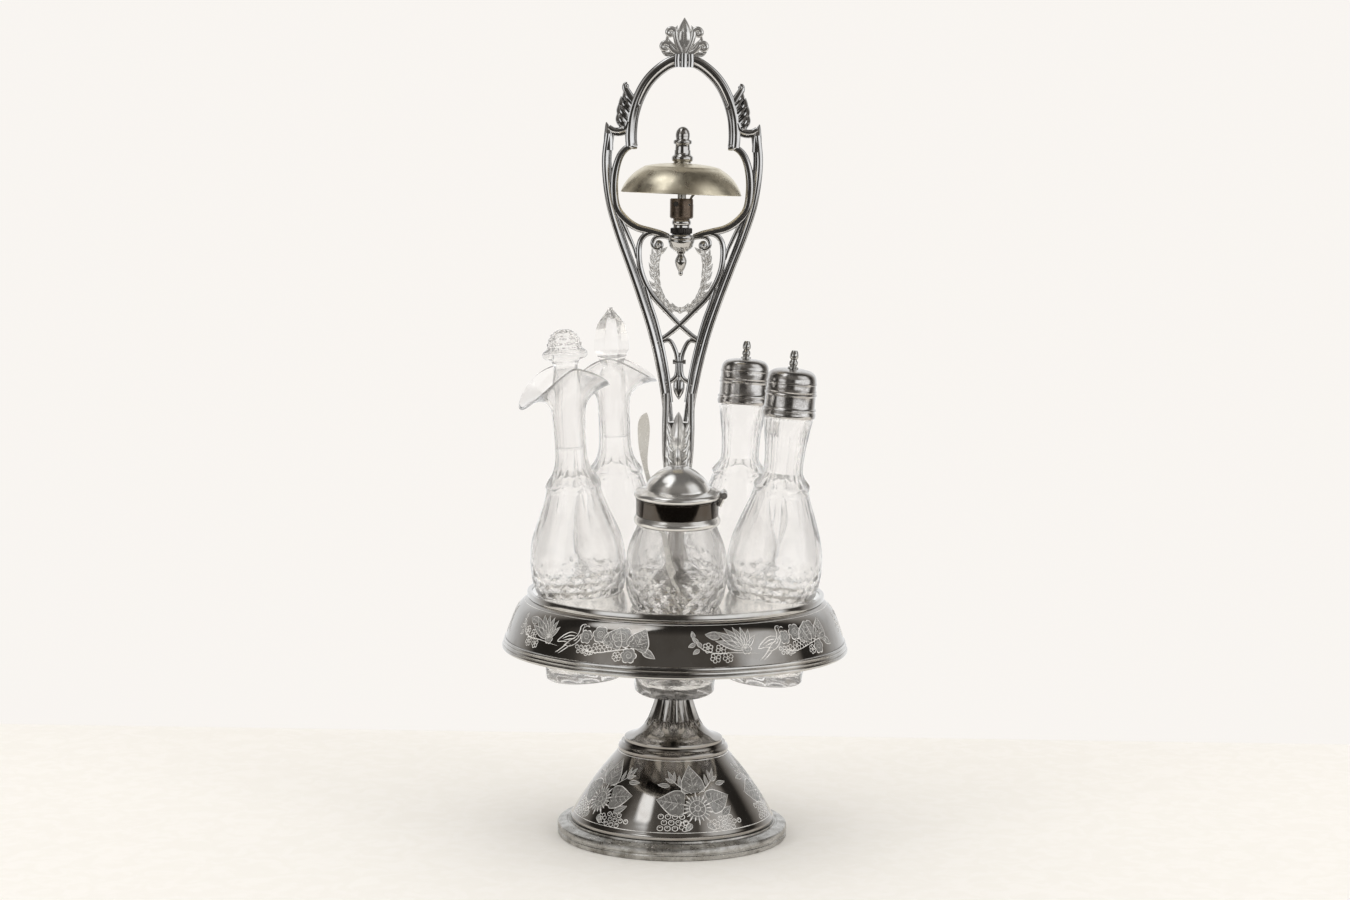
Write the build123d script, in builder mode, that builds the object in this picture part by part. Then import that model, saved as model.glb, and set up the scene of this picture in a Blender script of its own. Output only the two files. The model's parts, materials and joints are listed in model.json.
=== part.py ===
"""Silver-plated cruet set: a domed foot, a turning tray with five glass bottles, and an
openwork handle that carries a call bell. Millimetres, +Z up, origin at the centre of the
foot's underside. The front is -Y, and +X is to the right of someone facing it."""

from build123d import *
import os
from math import cos, radians, sin, tan

os.makedirs("parts", exist_ok=True)

# Foot
foot_radius = 64.8
foot_rim_height = 9.4
cone_top_height = 53.4
stem_top_height = 129.4
flute_count = 14

# Spindle, its bush and nut
spindle_radius = 5.0
running_gap = 0.05
fixed_bore_radius = 5.1
bush_radius = 6.25

# Tray: a very flat cone with a bevelled skirt
tray_apex_height = 144.3
tray_slope = 4.5
plate_radius = 80.5
plate_thickness = 1.6
skirt_thickness = 1.4
skirt_outline = ((82.3, 135.2), (85.9, 132.6), (88.6, 129.6), (90.6, 125.4), (92.3, 120.9), (95.2, 112.7))

# Stations for the bottles
station_count = 5
station_radius = 55.75
seat_hole_radius = 22.9

# Handle
post_top_height = 205.5
rail_depth = 4.6
scroll_depth = 3.0
web_depth = 1.6
tenon_radius = 3.2

# Bell, from its hub upward
hub_radius = 7.5
hub_low = 334.6
hub_high = 338.0
barrel_radius = 6.5
barrel_low = 347.0
barrel_high = 358.0
bell_radius = 33.5
bell_rim_height = 360.5
bell_top_height = 377.5
bell_wall = 1.2
post_radius = 2.4
plunger_travel = 2.5

# Mustard pot's lid and spoon
lid_low = 59.5
lid_hinge_reach = 24.9
lid_hinge_height = 61.4
knuckle_radius = 1.9
pin_radius = 0.8
spoon_entry = Vector(-13.0, 11.5, 60.0)
spoon_lean = Vector(-0.26, 0.167, 1.0)


def plate_top(radius):
    """Height of the tray plate's upper face at a radius."""
    return tray_apex_height - radius * tan(radians(tray_slope))


def plate_under(radius):
    """Height of the tray plate's lower face at a radius."""
    return plate_top(radius) - plate_thickness


def station(index):
    """Seat of one bottle, square to the plate there, its X kept to the set's right."""
    bearing = radians(-90 + index * 360 / station_count)
    outward = Vector(cos(bearing), sin(bearing), 0)
    lean = radians(tray_slope)
    normal = outward * sin(lean) + Vector(0, 0, cos(lean))
    seat = outward * station_radius + Vector(0, 0, plate_top(station_radius))
    right = Vector(1, 0, 0)
    return Plane(origin=seat, x_dir=right - normal * right.dot(normal), z_dir=normal)


def upright(seat):
    """Plane through a seat's axis: X is the radius and Y the height above the seat."""
    return Plane(origin=seat.origin, x_dir=seat.x_dir, z_dir=-seat.y_dir)


def turning_axis(seat):
    """The axis that a piece on this seat is turned about."""
    return Axis(seat.origin, seat.z_dir)


def level(seat, height):
    """A seat's own plane, raised along its axis."""
    return Plane(origin=seat.origin + seat.z_dir * height, x_dir=seat.x_dir, z_dir=seat.z_dir)


def bar(width, *points):
    """A bar of even width along a smooth centreline, in the handle's plane."""
    with BuildSketch() as shape:
        with BuildLine():
            Spline(*points)
        trace(line_width=width)
    return shape.sketch


def leaf(base, tip, width):
    """A pointed leaf between two points of the handle's plane."""
    root = Vector(*base)
    point = Vector(*tip)
    along = point - root
    side = Vector(-along.Y, along.X).normalized() * width / 2
    belly = root + along * 0.4
    with BuildSketch() as shape:
        with BuildLine():
            Spline(root, belly + side, point)
            Spline(root, belly - side, point)
        make_face()
    return shape.sketch


front_seat = station(0)
shaker_front_seat = station(1)
shaker_back_seat = station(2)
cruet_back_seat = station(3)
cruet_front_seat = station(4)

# ---------------------------------------------------------------- foot

with BuildPart() as foot_rim:
    with BuildSketch(Plane.XZ):
        with BuildLine():
            Polyline(
                (55.0, 0),
                (foot_radius - 0.7, 0),
                (foot_radius, 0.7),
                (foot_radius, 6.8),
                (foot_radius - 0.8, 7.6),
                (58.6, 8.4),
                (58.2, foot_rim_height),
                (55.0, foot_rim_height),
                close=True,
            )
        make_face()
    revolve(axis=Axis.Z)
foot_rim.part.label = "foot_rim"

with BuildPart() as foot_cone:
    with BuildSketch(Plane.XZ):
        with BuildLine():
            Polyline((55.0, foot_rim_height), (57.4, foot_rim_height), (57.4, 11.2), (56.4, 12.6))
            Spline((56.4, 12.6), (52.3, 19.7), (43.0, 33.2), (30.4, 48.9))
            Polyline((30.4, 48.9), (30.9, 50.2), (30.4, 51.8), (29.2, cone_top_height))
            Polyline((29.2, cone_top_height), (26.6, cone_top_height), (28.4, 48.2))
            Spline((28.4, 48.2), (41.2, 32.0), (50.3, 18.9), (55.0, foot_rim_height))
        make_face()
    revolve(axis=Axis.Z)
foot_cone.part.label = "foot_cone"

with BuildPart() as fluted_stem:
    with BuildSketch(Plane.XZ):
        with BuildLine():
            Polyline((26.0, cone_top_height), (27.6, cone_top_height), (27.6, 55.7))
            Spline((27.6, 55.7), (18.8, 60.0), (13.4, 69.0), (9.8, 82.0), (9.0, 97.0), (9.2, 118.0))
            Polyline((9.2, 118.0), (12.2, 123.0), (12.6, 127.5), (11.6, stem_top_height))
            Polyline((11.6, stem_top_height), (6.3, stem_top_height), (6.3, 70.0), (9.0, 70.0))
            Polyline((9.0, 70.0), (9.0, 64.5), (14.0, 59.0), (26.0, cone_top_height))
        make_face()
    revolve(axis=Axis.Z)
    with BuildLine(Plane.XZ) as flute_path:
        ThreePointArc((24.4, 59.3), (16.7, 65.6), (11.9, 76.5))
    with BuildSketch(Plane(origin=flute_path.line @ 0, z_dir=flute_path.line % 0)) as flute_round:
        Circle(2.1)
    flute = sweep(flute_round.sketch, path=flute_path.line, mode=Mode.PRIVATE)
    with PolarLocations(0, flute_count):
        add(flute, mode=Mode.SUBTRACT)
fluted_stem.part.label = "fluted_stem"

with BuildPart() as stem_bush:
    with BuildSketch(Plane.XY.offset(70.0)):
        Circle(bush_radius)
        Circle(spindle_radius + running_gap, mode=Mode.SUBTRACT)
    extrude(amount=stem_top_height - 70.0)
    with BuildSketch(Plane.XY.offset(stem_top_height)):
        Circle(9.0)
        Circle(spindle_radius + running_gap, mode=Mode.SUBTRACT)
    extrude(amount=1.2)
stem_bush.part.label = "stem_bush"

# ---------------------------------------------------------------- tray

with BuildPart() as spindle:
    with BuildSketch(Plane.XY.offset(60.5)):
        Circle(spindle_radius)
    extrude(amount=90.0)
    with BuildSketch(Plane.XY.offset(stem_top_height + 1.2 + running_gap)):
        Circle(9.4)
    extrude(amount=0.95)
    chamfer(spindle.faces().sort_by(Axis.Z)[0].edges(), 0.8)
spindle.part.label = "spindle"

with BuildPart() as spindle_nut:
    with BuildSketch(Plane.XY.offset(64.6)):
        RegularPolygon(7.8, 6)
        Circle(spindle_radius + running_gap, mode=Mode.SUBTRACT)
    extrude(amount=5.0)
spindle_nut.part.label = "spindle_nut"

with BuildPart() as tray_hub:
    with BuildSketch(Plane.XZ):
        with BuildLine():
            Polyline(
                (fixed_bore_radius, 131.6),
                (12.5, 131.6),
                (16.0, 134.0),
                (16.0, plate_under(16.0)),
                (fixed_bore_radius, plate_under(fixed_bore_radius)),
                close=True,
            )
        make_face()
    revolve(axis=Axis.Z)
tray_hub.part.label = "tray_hub"

with BuildPart() as tray_plate:
    with BuildSketch(Plane.XZ):
        with BuildLine():
            Polyline(
                (fixed_bore_radius, plate_top(fixed_bore_radius)),
                (plate_radius, plate_top(plate_radius)),
                (plate_radius, plate_under(plate_radius)),
                (fixed_bore_radius, plate_under(fixed_bore_radius)),
                close=True,
            )
        make_face()
    revolve(axis=Axis.Z)
    for index in range(station_count):
        with BuildSketch(level(station(index), -6.0)):
            Circle(seat_hole_radius)
        extrude(amount=12.0, mode=Mode.SUBTRACT)
tray_plate.part.label = "tray_plate"

with BuildPart() as tray_bead:
    with BuildSketch(Plane.XZ):
        with BuildLine():
            Polyline((80.5, 138.6), (80.5, 135.2), (82.3, 135.2))
            ThreePointArc((82.3, 135.2), (83.2, 137.2), (82.0, 138.9))
            Line((82.0, 138.9), (80.5, 138.6))
        make_face()
    revolve(axis=Axis.Z)
tray_bead.part.label = "tray_bead"

with BuildPart() as tray_skirt:
    with BuildSketch(Plane.XZ):
        with BuildLine():
            Spline(*skirt_outline)
            Line(skirt_outline[-1], (skirt_outline[-1][0] - skirt_thickness, 112.7))
            Spline(
                (skirt_outline[-1][0] - skirt_thickness, 112.7),
                (90.9, 120.5),
                (89.2, 124.9),
                (87.4, 128.8),
                (84.9, 131.6),
                (80.9, 135.2),
            )
            Line((80.9, 135.2), skirt_outline[0])
        make_face()
    revolve(axis=Axis.Z)
tray_skirt.part.label = "tray_skirt"

with BuildPart() as tray_moulding:
    with BuildSketch(Plane.XZ):
        with BuildLine():
            Polyline((93.8, 106.5), (93.8, 112.7), (95.5, 112.7))
            ThreePointArc((95.5, 112.7), (96.3, 111.4), (95.6, 110.0))
            ThreePointArc((95.6, 110.0), (97.1, 108.2), (96.2, 106.5))
            Line((96.2, 106.5), (93.8, 106.5))
        make_face()
    revolve(axis=Axis.Z)
tray_moulding.part.label = "tray_moulding"

# ---------------------------------------------------------------- handle

with BuildPart() as centre_post:
    with BuildSketch(Plane.XZ):
        with BuildLine():
            Line((fixed_bore_radius, plate_top(fixed_bore_radius)), (15.0, plate_top(15.0)))
            Line((15.0, plate_top(15.0)), (15.0, 144.4))
            ThreePointArc((15.0, 144.4), (13.4, 146.4), (11.6, 147.4))
            ThreePointArc((11.6, 147.4), (12.3, 148.6), (11.2, 149.8))
            Spline((11.2, 149.8), (7.4, 155.0), (5.4, 166.0), (5.0, 180.0), (5.8, 194.0))
            ThreePointArc((5.8, 194.0), (8.2, 196.2), (5.9, 198.4))
            Polyline((5.9, 198.4), (6.2, 201.0), (8.2, 203.0), (8.2, post_top_height))
            Polyline((8.2, post_top_height), (tenon_radius + running_gap, post_top_height))
            Polyline((tenon_radius + running_gap, post_top_height), (tenon_radius + running_gap, 191.0))
            Polyline((tenon_radius + running_gap, 191.0), (0, 191.0), (0, 151.0), (fixed_bore_radius, 151.0))
            Line((fixed_bore_radius, 151.0), (fixed_bore_radius, plate_top(fixed_bore_radius)))
        make_face()
    revolve(axis=Axis.Z)
centre_post.part.label = "centre_post"

with BuildPart() as handle_frame:
    # Side rails, outer and inner rails of the arch, and the ears between them
    with BuildSketch(Plane.XZ):
        add(bar(
            5.6, (40.4, 393.0), (41.8, 378.0), (39.4, 356.0), (34.1, 338.0), (27.4, 320.0),
            (20.9, 302.0), (15.0, 284.0), (10.5, 266.0), (7.1, 248.0), (5.3, 234.0),
        ))
        add(bar(
            3.6, (0, 436.0), (6.6, 434.9), (18.8, 428.0), (26.4, 417.9), (31.3, 406.6),
            (33.4, 399.3), (37.9, 393.0),
        ))
        add(bar(3.0, (0, 432.0), (4.3, 431.7), (14.2, 424.8), (22.0, 414.2), (26.2, 400.0), (27.2, 385.0)))
        with BuildLine():
            Spline((43.2, 392.5), (43.0, 396.0), (41.2, 399.0))
            Spline((41.2, 399.0), (38.6, 396.4), (36.6, 393.4))
            Line((36.6, 393.4), (43.2, 392.5))
        make_face()
        mirror(about=Plane.YZ)
    extrude(amount=rail_depth / 2, both=True)
    # Solid blade with a forked top, and its tenon
    with BuildSketch(Plane.XZ):
        with BuildLine():
            Polyline((0, post_top_height), (7.0, post_top_height), (7.9, 225.0), (8.3, 240.0))
            Polyline((8.3, 240.0), (3.4, 242.0), (0, 237.0), (0, post_top_height))
        make_face()
        mirror(about=Plane.YZ)
    extrude(amount=rail_depth / 2, both=True)
    with BuildSketch(Plane.XY.offset(post_top_height)):
        Circle(tenon_radius)
    extrude(amount=-14.0)
    # Curls that frame the bell, the heart scroll and the tracery below it
    with BuildSketch(Plane.XZ):
        add(bar(
            3.4, (26.0, 385.4), (33.0, 380.0), (36.8, 372.0), (37.5, 362.0), (35.8, 352.0),
            (30.5, 345.5), (24.5, 341.7), (18.0, 340.0), (12.0, 338.6),
        ))
        add(bar(
            2.9, (5.0, 335.8), (9.9, 337.3), (15.2, 339.0), (19.7, 337.8), (22.7, 333.8),
            (22.9, 322.0), (19.6, 311.5), (14.3, 302.9), (7.2, 295.4), (0.2, 288.2), (-6.8, 282.2),
            (-11.0, 279.4),
        ))
        add(bar(2.6, (12.6, 277.6), (6.0, 279.4), (2.4, 274.1), (1.0, 266.0), (2.1, 258.7), (7.6, 255.0)))
        add(bar(3.2, (-3.0, 267.5), (3.0, 267.5)))
        add(leaf((0, 258.5), (0, 246.4), 6.6))
        add(bar(2.6, (0, 270.0), (0, 257.0)))
        with Locations((13.0, 332.4)):
            Circle(3.2)
        add(bar(2.4, (13.6, 333.0), (17.5, 336.8)))
        mirror(about=Plane.YZ)
    extrude(amount=scroll_depth / 2, both=True)
    # Thin web between the two rails of the arch, and the collar under the crest
    with BuildSketch(Plane.XZ):
        add(bar(3.4, (0, 434.0), (5.4, 433.2), (16.6, 426.4), (24.4, 415.8), (28.8, 403.4), (30.4, 396.0)))
        add(bar(4.6, (30.4, 396.0), (29.2, 388.0)))
        mirror(about=Plane.YZ)
    extrude(amount=web_depth / 2, both=True)
    with BuildSketch(Plane.XZ):
        with Locations((0, 433.8)):
            Rectangle(12.2, 7.0)
    extrude(amount=3.0, both=True)
    # Acanthus leaves outside the arch
    with BuildSketch(Plane.XZ):
        add(leaf((33.4, 398.0), (37.4, 409.0), 3.6))
        add(leaf((32.0, 403.0), (35.9, 415.5), 4.0))
        add(leaf((29.8, 408.5), (33.3, 420.0), 4.2))
        with Locations((30.8, 420.2)):
            Circle(2.4)
        mirror(about=Plane.YZ)
    extrude(amount=1.6, both=True)
    # Seat for the bell's hub
    with BuildSketch(Plane.XY.offset(hub_low - 6.0)):
        Circle(hub_radius)
    extrude(amount=14.0, mode=Mode.SUBTRACT)
handle_frame.part.label = "handle_frame"

with BuildPart() as crest_palmette:
    with BuildSketch(Plane.XZ):
        add(leaf((0, 436.0), (0, 457.0), 7.6))
        add(bar(2.6, (1.0, 437.6), (3.4, 443.4), (5.2, 449.4), (8.6, 450.8), (9.6, 447.6), (7.4, 446.8)))
        add(bar(2.8, (3.2, 436.4), (6.2, 440.6), (9.6, 443.6), (12.6, 441.6), (11.4, 438.6), (9.2, 439.6)))
        mirror(about=Plane.YZ)
        with BuildLine():
            Polyline((-5.4, 437.3), (5.4, 437.3), (0, 445.2), close=True)
        make_face()
    extrude(amount=1.7, both=True)
    add(handle_frame.part, mode=Mode.SUBTRACT)
crest_palmette.part.label = "crest_palmette"

with BuildPart() as laurel_garland:
    with BuildSketch(Plane.XZ):
        add(bar(
            1.6, (10.4, 329.6), (13.4, 325.8), (14.2, 320.0), (13.7, 313.8), (12.2, 306.8),
            (9.1, 301.1), (4.9, 297.0), (0, 295.2),
        ))
        for base, inner, outer in (
            ((13.9, 323.0), (10.6, 326.6), (16.8, 327.2)),
            ((14.2, 318.0), (10.8, 321.4), (17.6, 322.0)),
            ((13.4, 312.4), (10.2, 316.2), (17.0, 316.6)),
            ((12.0, 306.6), (8.8, 310.6), (15.4, 311.2)),
            ((9.4, 301.6), (6.2, 305.2), (12.8, 306.0)),
        ):
            add(leaf(base, inner, 2.4))
            add(leaf(base, outer, 2.4))
        mirror(about=Plane.YZ)
        with Locations((0, 296.4)):
            Ellipse(3.0, 1.8)
    extrude(amount=1.2, both=True)
    add(handle_frame.part, mode=Mode.SUBTRACT)
laurel_garland.part.label = "laurel_garland"

# ---------------------------------------------------------------- call bell

with BuildPart() as drop_finial:
    with BuildSketch(Plane.XZ):
        with BuildLine():
            Polyline((0, 332.0), (1.7, 332.0), (1.7, 327.6))
            Spline((1.7, 327.6), (3.6, 323.0), (2.2, 319.0), (0, 315.2))
            Line((0, 315.2), (0, 332.0))
        make_face()
    revolve(axis=Axis.Z)
drop_finial.part.label = "drop_finial"

with BuildPart() as bell_hub:
    with BuildSketch(Plane.XZ):
        with BuildLine():
            Polyline((1.75, 332.2), (1.75, 328.6), (3.0, 328.6))
            ThreePointArc((3.0, 328.6), (6.2, 330.6), (hub_radius, hub_low))
            Polyline((hub_radius, hub_low), (hub_radius, hub_high), (2.45, hub_high))
            Polyline((2.45, hub_high), (2.45, 333.4), (0, 333.4), (0, 332.2), (1.75, 332.2))
        make_face()
    revolve(axis=Axis.Z)
bell_hub.part.label = "bell_hub"

with BuildPart() as lower_ring:
    with BuildSketch(Plane.XZ):
        with BuildLine():
            Polyline((2.45, hub_high), (5.2, hub_high), (5.2, 338.6), (6.1, 338.9), (6.1, 341.7))
            Polyline((6.1, 341.7), (5.3, 342.0), (2.45, 342.0), (2.45, hub_high))
        make_face()
    revolve(axis=Axis.Z)
lower_ring.part.label = "lower_ring"

with BuildPart() as upper_ring:
    with BuildSketch(Plane.XZ):
        with BuildLine():
            Polyline((2.45, 342.0), (4.6, 342.0), (4.6, 343.2))
            ThreePointArc((4.6, 343.2), (5.4, 345.0), (4.6, 346.4))
            Polyline((4.6, 346.4), (4.6, barrel_low), (2.45, barrel_low), (2.45, 342.0))
        make_face()
    revolve(axis=Axis.Z)
upper_ring.part.label = "upper_ring"

with BuildPart() as bell_barrel:
    with BuildSketch(Plane.XZ):
        with BuildLine():
            Polyline(
                (2.45, barrel_low),
                (barrel_radius - 0.6, barrel_low),
                (barrel_radius, barrel_low + 0.8),
                (barrel_radius, barrel_high - 0.5),
                (barrel_radius - 0.5, barrel_high),
                (barrel_radius - 1.1, barrel_high),
                (barrel_radius - 1.1, barrel_low + 1.4),
                (2.45, barrel_low + 1.4),
                close=True,
            )
        make_face()
    revolve(axis=Axis.Z)
    # Holes for the striker's pin and the screw, and a notch for the striker's arm
    with BuildSketch(Plane.XZ):
        with Locations((4.2, 354.6)):
            Circle(0.62)
    extrude(amount=7.0, both=True, mode=Mode.SUBTRACT)
    with BuildSketch(Plane.XZ):
        with Locations((-3.2, 355.0)):
            Circle(0.75)
    extrude(amount=7.0, mode=Mode.SUBTRACT)
    with BuildSketch(Plane.XY.offset(355.0)):
        with Locations((5.5, 0)):
            Rectangle(4.0, 3.4)
    extrude(amount=4.0, mode=Mode.SUBTRACT)
bell_barrel.part.label = "bell_barrel"

with BuildPart() as barrel_screw:
    with BuildSketch(Plane.XZ.offset(4.3)):
        with Locations((-3.2, 355.0)):
            Circle(0.7)
    extrude(amount=2.0)
    with BuildSketch(Plane.XZ.offset(5.9)):
        with Locations((-3.2, 355.0)):
            Circle(1.4)
    extrude(amount=0.7)
    with BuildSketch(Plane.XZ.offset(6.3)):
        with Locations((-3.2, 355.0)):
            Rectangle(3.0, 0.4, rotation=35)
    extrude(amount=0.6, mode=Mode.SUBTRACT)
    add(bell_barrel.part, mode=Mode.SUBTRACT)
barrel_screw.part.label = "barrel_screw"

with BuildPart() as bell_post:
    with BuildSketch(Plane.XY.offset(333.5)):
        Circle(post_radius)
        Circle(1.38, mode=Mode.SUBTRACT)
    extrude(amount=380.2 - 333.5)
bell_post.part.label = "bell_post"

with BuildPart() as bell_cup:
    with BuildSketch(Plane.XZ):
        with BuildLine():
            Line((post_radius + running_gap, bell_top_height), (8.0, bell_top_height))
            Spline(
                (8.0, bell_top_height), (20.2, 375.7), (28.6, 369.6), (bell_radius, bell_rim_height),
                tangents=((1, 0), (0.25, -1)),
            )
            Line((bell_radius, bell_rim_height), (bell_radius - bell_wall, bell_rim_height))
            Spline(
                (bell_radius - bell_wall, bell_rim_height), (27.5, 368.9), (19.6, 374.6),
                (8.0, bell_top_height - bell_wall), tangents=((-0.25, 1), (-1, 0)),
            )
            Line((8.0, bell_top_height - bell_wall), (post_radius + running_gap, bell_top_height - bell_wall))
            Line(
                (post_radius + running_gap, bell_top_height - bell_wall),
                (post_radius + running_gap, bell_top_height),
            )
        make_face()
    revolve(axis=Axis.Z)
bell_cup.part.label = "bell_cup"

with BuildPart() as bell_nut:
    with BuildSketch(Plane.XZ):
        with BuildLine():
            Polyline((post_radius + 0.02, bell_top_height), (4.4, bell_top_height), (4.4, 378.8))
            ThreePointArc((4.4, 378.8), (6.1, 380.4), (5.2, 382.0))
            Polyline((5.2, 382.0), (5.0, 384.6), (4.2, 384.6), (4.2, 380.2), (post_radius + 0.02, 380.2))
            Line((post_radius + 0.02, 380.2), (post_radius + 0.02, bell_top_height))
        make_face()
    revolve(axis=Axis.Z)
bell_nut.part.label = "bell_nut"

with BuildPart() as plunger_button:
    with BuildSketch(Plane.XZ):
        with BuildLine():
            Polyline((3.1, 383.1), (3.9, 383.1), (3.9, 387.2))
            ThreePointArc((3.9, 387.2), (5.4, 388.7), (3.9, 390.2))
            Polyline((3.9, 390.2), (3.4, 390.8))
            Spline((3.4, 390.8), (3.9, 393.0), (2.4, 396.0), (0, 397.6))
            Polyline((0, 397.6), (0, 390.4), (1.32, 390.4), (1.32, 386.4), (3.1, 386.4), (3.1, 383.1))
        make_face()
    revolve(axis=Axis.Z)
plunger_button.part.label = "plunger_button"

with BuildPart() as plunger_rod:
    with BuildSketch(Plane.XY.offset(341.0)):
        Circle(1.3)
    extrude(amount=390.3 - 341.0)
plunger_rod.part.label = "plunger_rod"

with BuildPart() as return_spring:
    with BuildLine():
        coil = Helix(pitch=1.3, height=5.2, radius=2.3, center=(0, 0, 380.7))
    with BuildSketch(Plane(origin=coil @ 0, z_dir=coil % 0)):
        Circle(0.25)
    sweep(path=coil)
return_spring.part.label = "return_spring"

with BuildPart() as striker_pin:
    with BuildSketch(Plane.XZ.offset(-5.0)):
        with Locations((4.2, 354.6)):
            Circle(0.55)
    extrude(amount=10.0)
striker_pin.part.label = "striker_pin"

with BuildPart() as striker_arm:
    with BuildSketch(Plane.XZ):
        add(bar(1.3, (4.2, 354.6), (5.8, 359.4), (11.0, 363.4), (19.0, 366.2), (23.8, 366.9)))
        with Locations((4.2, 354.6)):
            Circle(1.1)
            Circle(0.6, mode=Mode.SUBTRACT)
    extrude(amount=0.8, both=True)
    with Locations((25.0, 0, 367.0)):
        Sphere(2.2)
striker_arm.part.label = "striker_arm"

# ---------------------------------------------------------------- glass bottles


def pouring_bottle(seat):
    """A cruet: a footed body sunk through the tray and a wide saddle-shaped pouring lip."""
    with BuildPart() as glass:
        with BuildSketch(upright(seat)):
            with BuildLine():
                Polyline((0, -48.0), (20.4, -48.0), (22.3, -45.4), (22.3, 0.1), (24.0, 0.1))
                Spline((24.0, 0.1), (26.7, 15.0), (24.0, 34.0), (17.3, 52.0), (15.0, 61.0))
                Polyline((15.0, 61.0), (15.6, 62.4), (14.4, 63.8), (10.8, 69.0))
                Spline((10.8, 69.0), (9.7, 80.0), (10.2, 95.0), (11.2, 107.0))
                Spline((11.2, 107.0), (13.4, 113.8), (17.0, 113.6), (21.0, 108.4), (23.9, 102.6))
                Line((23.9, 102.6), (24.9, 104.2))
                Spline((24.9, 104.2), (22.0, 112.4), (18.0, 119.2), (12.6, 124.4), (9.4, 123.8), (8.1, 120.0))
                Line((8.1, 120.0), (7.7, 78.0))
                Spline((7.7, 78.0), (12.2, 60.0), (20.8, 34.0), (23.4, 15.0), (20.8, 0))
                Polyline((20.8, 0), (19.2, -8.0), (19.2, -40.0), (16.0, -43.5), (0, -43.5), (0, -48.0))
            make_face()
        revolve(axis=turning_axis(seat))
        with BuildSketch(level(seat, 99.0)):
            Circle(30.0)
            Ellipse(24.2, 13.6, mode=Mode.SUBTRACT)
        extrude(amount=30.0, mode=Mode.SUBTRACT)
    return glass.part


def sprinkling_bottle(seat):
    """A shaker: the same body with a plain neck that is beaded under its cap."""
    with BuildPart() as glass:
        with BuildSketch(upright(seat)):
            with BuildLine():
                Polyline((0, -48.0), (20.4, -48.0), (22.3, -45.4), (22.3, 0.1), (24.0, 0.1))
                Spline((24.0, 0.1), (26.7, 15.0), (24.0, 34.0), (17.3, 52.0), (15.0, 61.0))
                Polyline((15.0, 61.0), (15.6, 62.4), (14.4, 63.8), (11.2, 69.0))
                Spline((11.2, 69.0), (10.9, 80.0), (12.0, 92.0), (14.6, 97.4))
                Polyline((14.6, 97.4), (14.6, 99.0), (12.5, 99.8), (12.5, 112.0), (9.4, 112.0), (9.0, 78.0))
                Spline((9.0, 78.0), (12.2, 60.0), (20.8, 34.0), (23.4, 15.0), (20.8, 0))
                Polyline((20.8, 0), (19.2, -8.0), (19.2, -40.0), (16.0, -43.5), (0, -43.5), (0, -48.0))
            make_face()
        revolve(axis=turning_axis(seat))
    return glass.part


def shaker_cap(seat):
    """A slip-on cap with a rolled rim, a beaded band and a pierced dome."""
    with BuildPart() as cap:
        with BuildSketch(upright(seat)):
            with BuildLine():
                Polyline((12.85, 100.0), (14.2, 100.0))
                ThreePointArc((14.2, 100.0), (14.9, 101.2), (14.0, 102.4))
                Line((14.0, 102.4), (14.0, 110.4))
                ThreePointArc((14.0, 110.4), (14.7, 111.3), (14.0, 112.2))
                Line((14.0, 112.2), (14.0, 118.4))
                Spline((14.0, 118.4), (12.4, 123.4), (7.6, 126.2), (1.55, 126.8), tangents=((0, 1), (-1, 0)))
                Line((1.55, 126.8), (1.55, 125.6))
                Spline((1.55, 125.6), (7.2, 125.0), (11.4, 122.6), (12.85, 118.4), tangents=((1, 0), (0, -1)))
                Line((12.85, 118.4), (12.85, 100.0))
            make_face()
        revolve(axis=turning_axis(seat))
        for ring_radius, hole_count in ((4.4, 6), (7.6, 10)):
            with BuildSketch(level(seat, 118.0)):
                with PolarLocations(ring_radius, hole_count):
                    Circle(0.6)
            extrude(amount=12.0, mode=Mode.SUBTRACT)
    return cap.part


def cap_finial(seat):
    """A turned finial of two beads, its stub through the top of the cap."""
    with BuildPart() as finial:
        with BuildSketch(upright(seat)):
            with BuildLine():
                Polyline((0, 124.6), (1.5, 124.6), (1.5, 126.8), (3.0, 126.8), (2.8, 128.2), (1.5, 129.0))
                ThreePointArc((1.5, 129.0), (2.5, 130.8), (1.4, 132.6))
                Spline((1.4, 132.6), (2.0, 134.8), (0, 137.0), tangents=((1, 0.5), (-1, 0)))
                Line((0, 137.0), (0, 124.6))
            make_face()
        revolve(axis=turning_axis(seat))
    return finial.part


cruet_front_glass = pouring_bottle(cruet_front_seat)
cruet_front_glass.label = "cruet_front_glass"
cruet_back_glass = pouring_bottle(cruet_back_seat)
cruet_back_glass.label = "cruet_back_glass"
shaker_front_glass = sprinkling_bottle(shaker_front_seat)
shaker_front_glass.label = "shaker_front_glass"
shaker_back_glass = sprinkling_bottle(shaker_back_seat)
shaker_back_glass.label = "shaker_back_glass"
shaker_front_cap = shaker_cap(shaker_front_seat)
shaker_front_cap.label = "shaker_front_cap"
shaker_back_cap = shaker_cap(shaker_back_seat)
shaker_back_cap.label = "shaker_back_cap"
shaker_front_finial = cap_finial(shaker_front_seat)
shaker_front_finial.label = "shaker_front_finial"
shaker_back_finial = cap_finial(shaker_back_seat)
shaker_back_finial.label = "shaker_back_finial"

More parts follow.
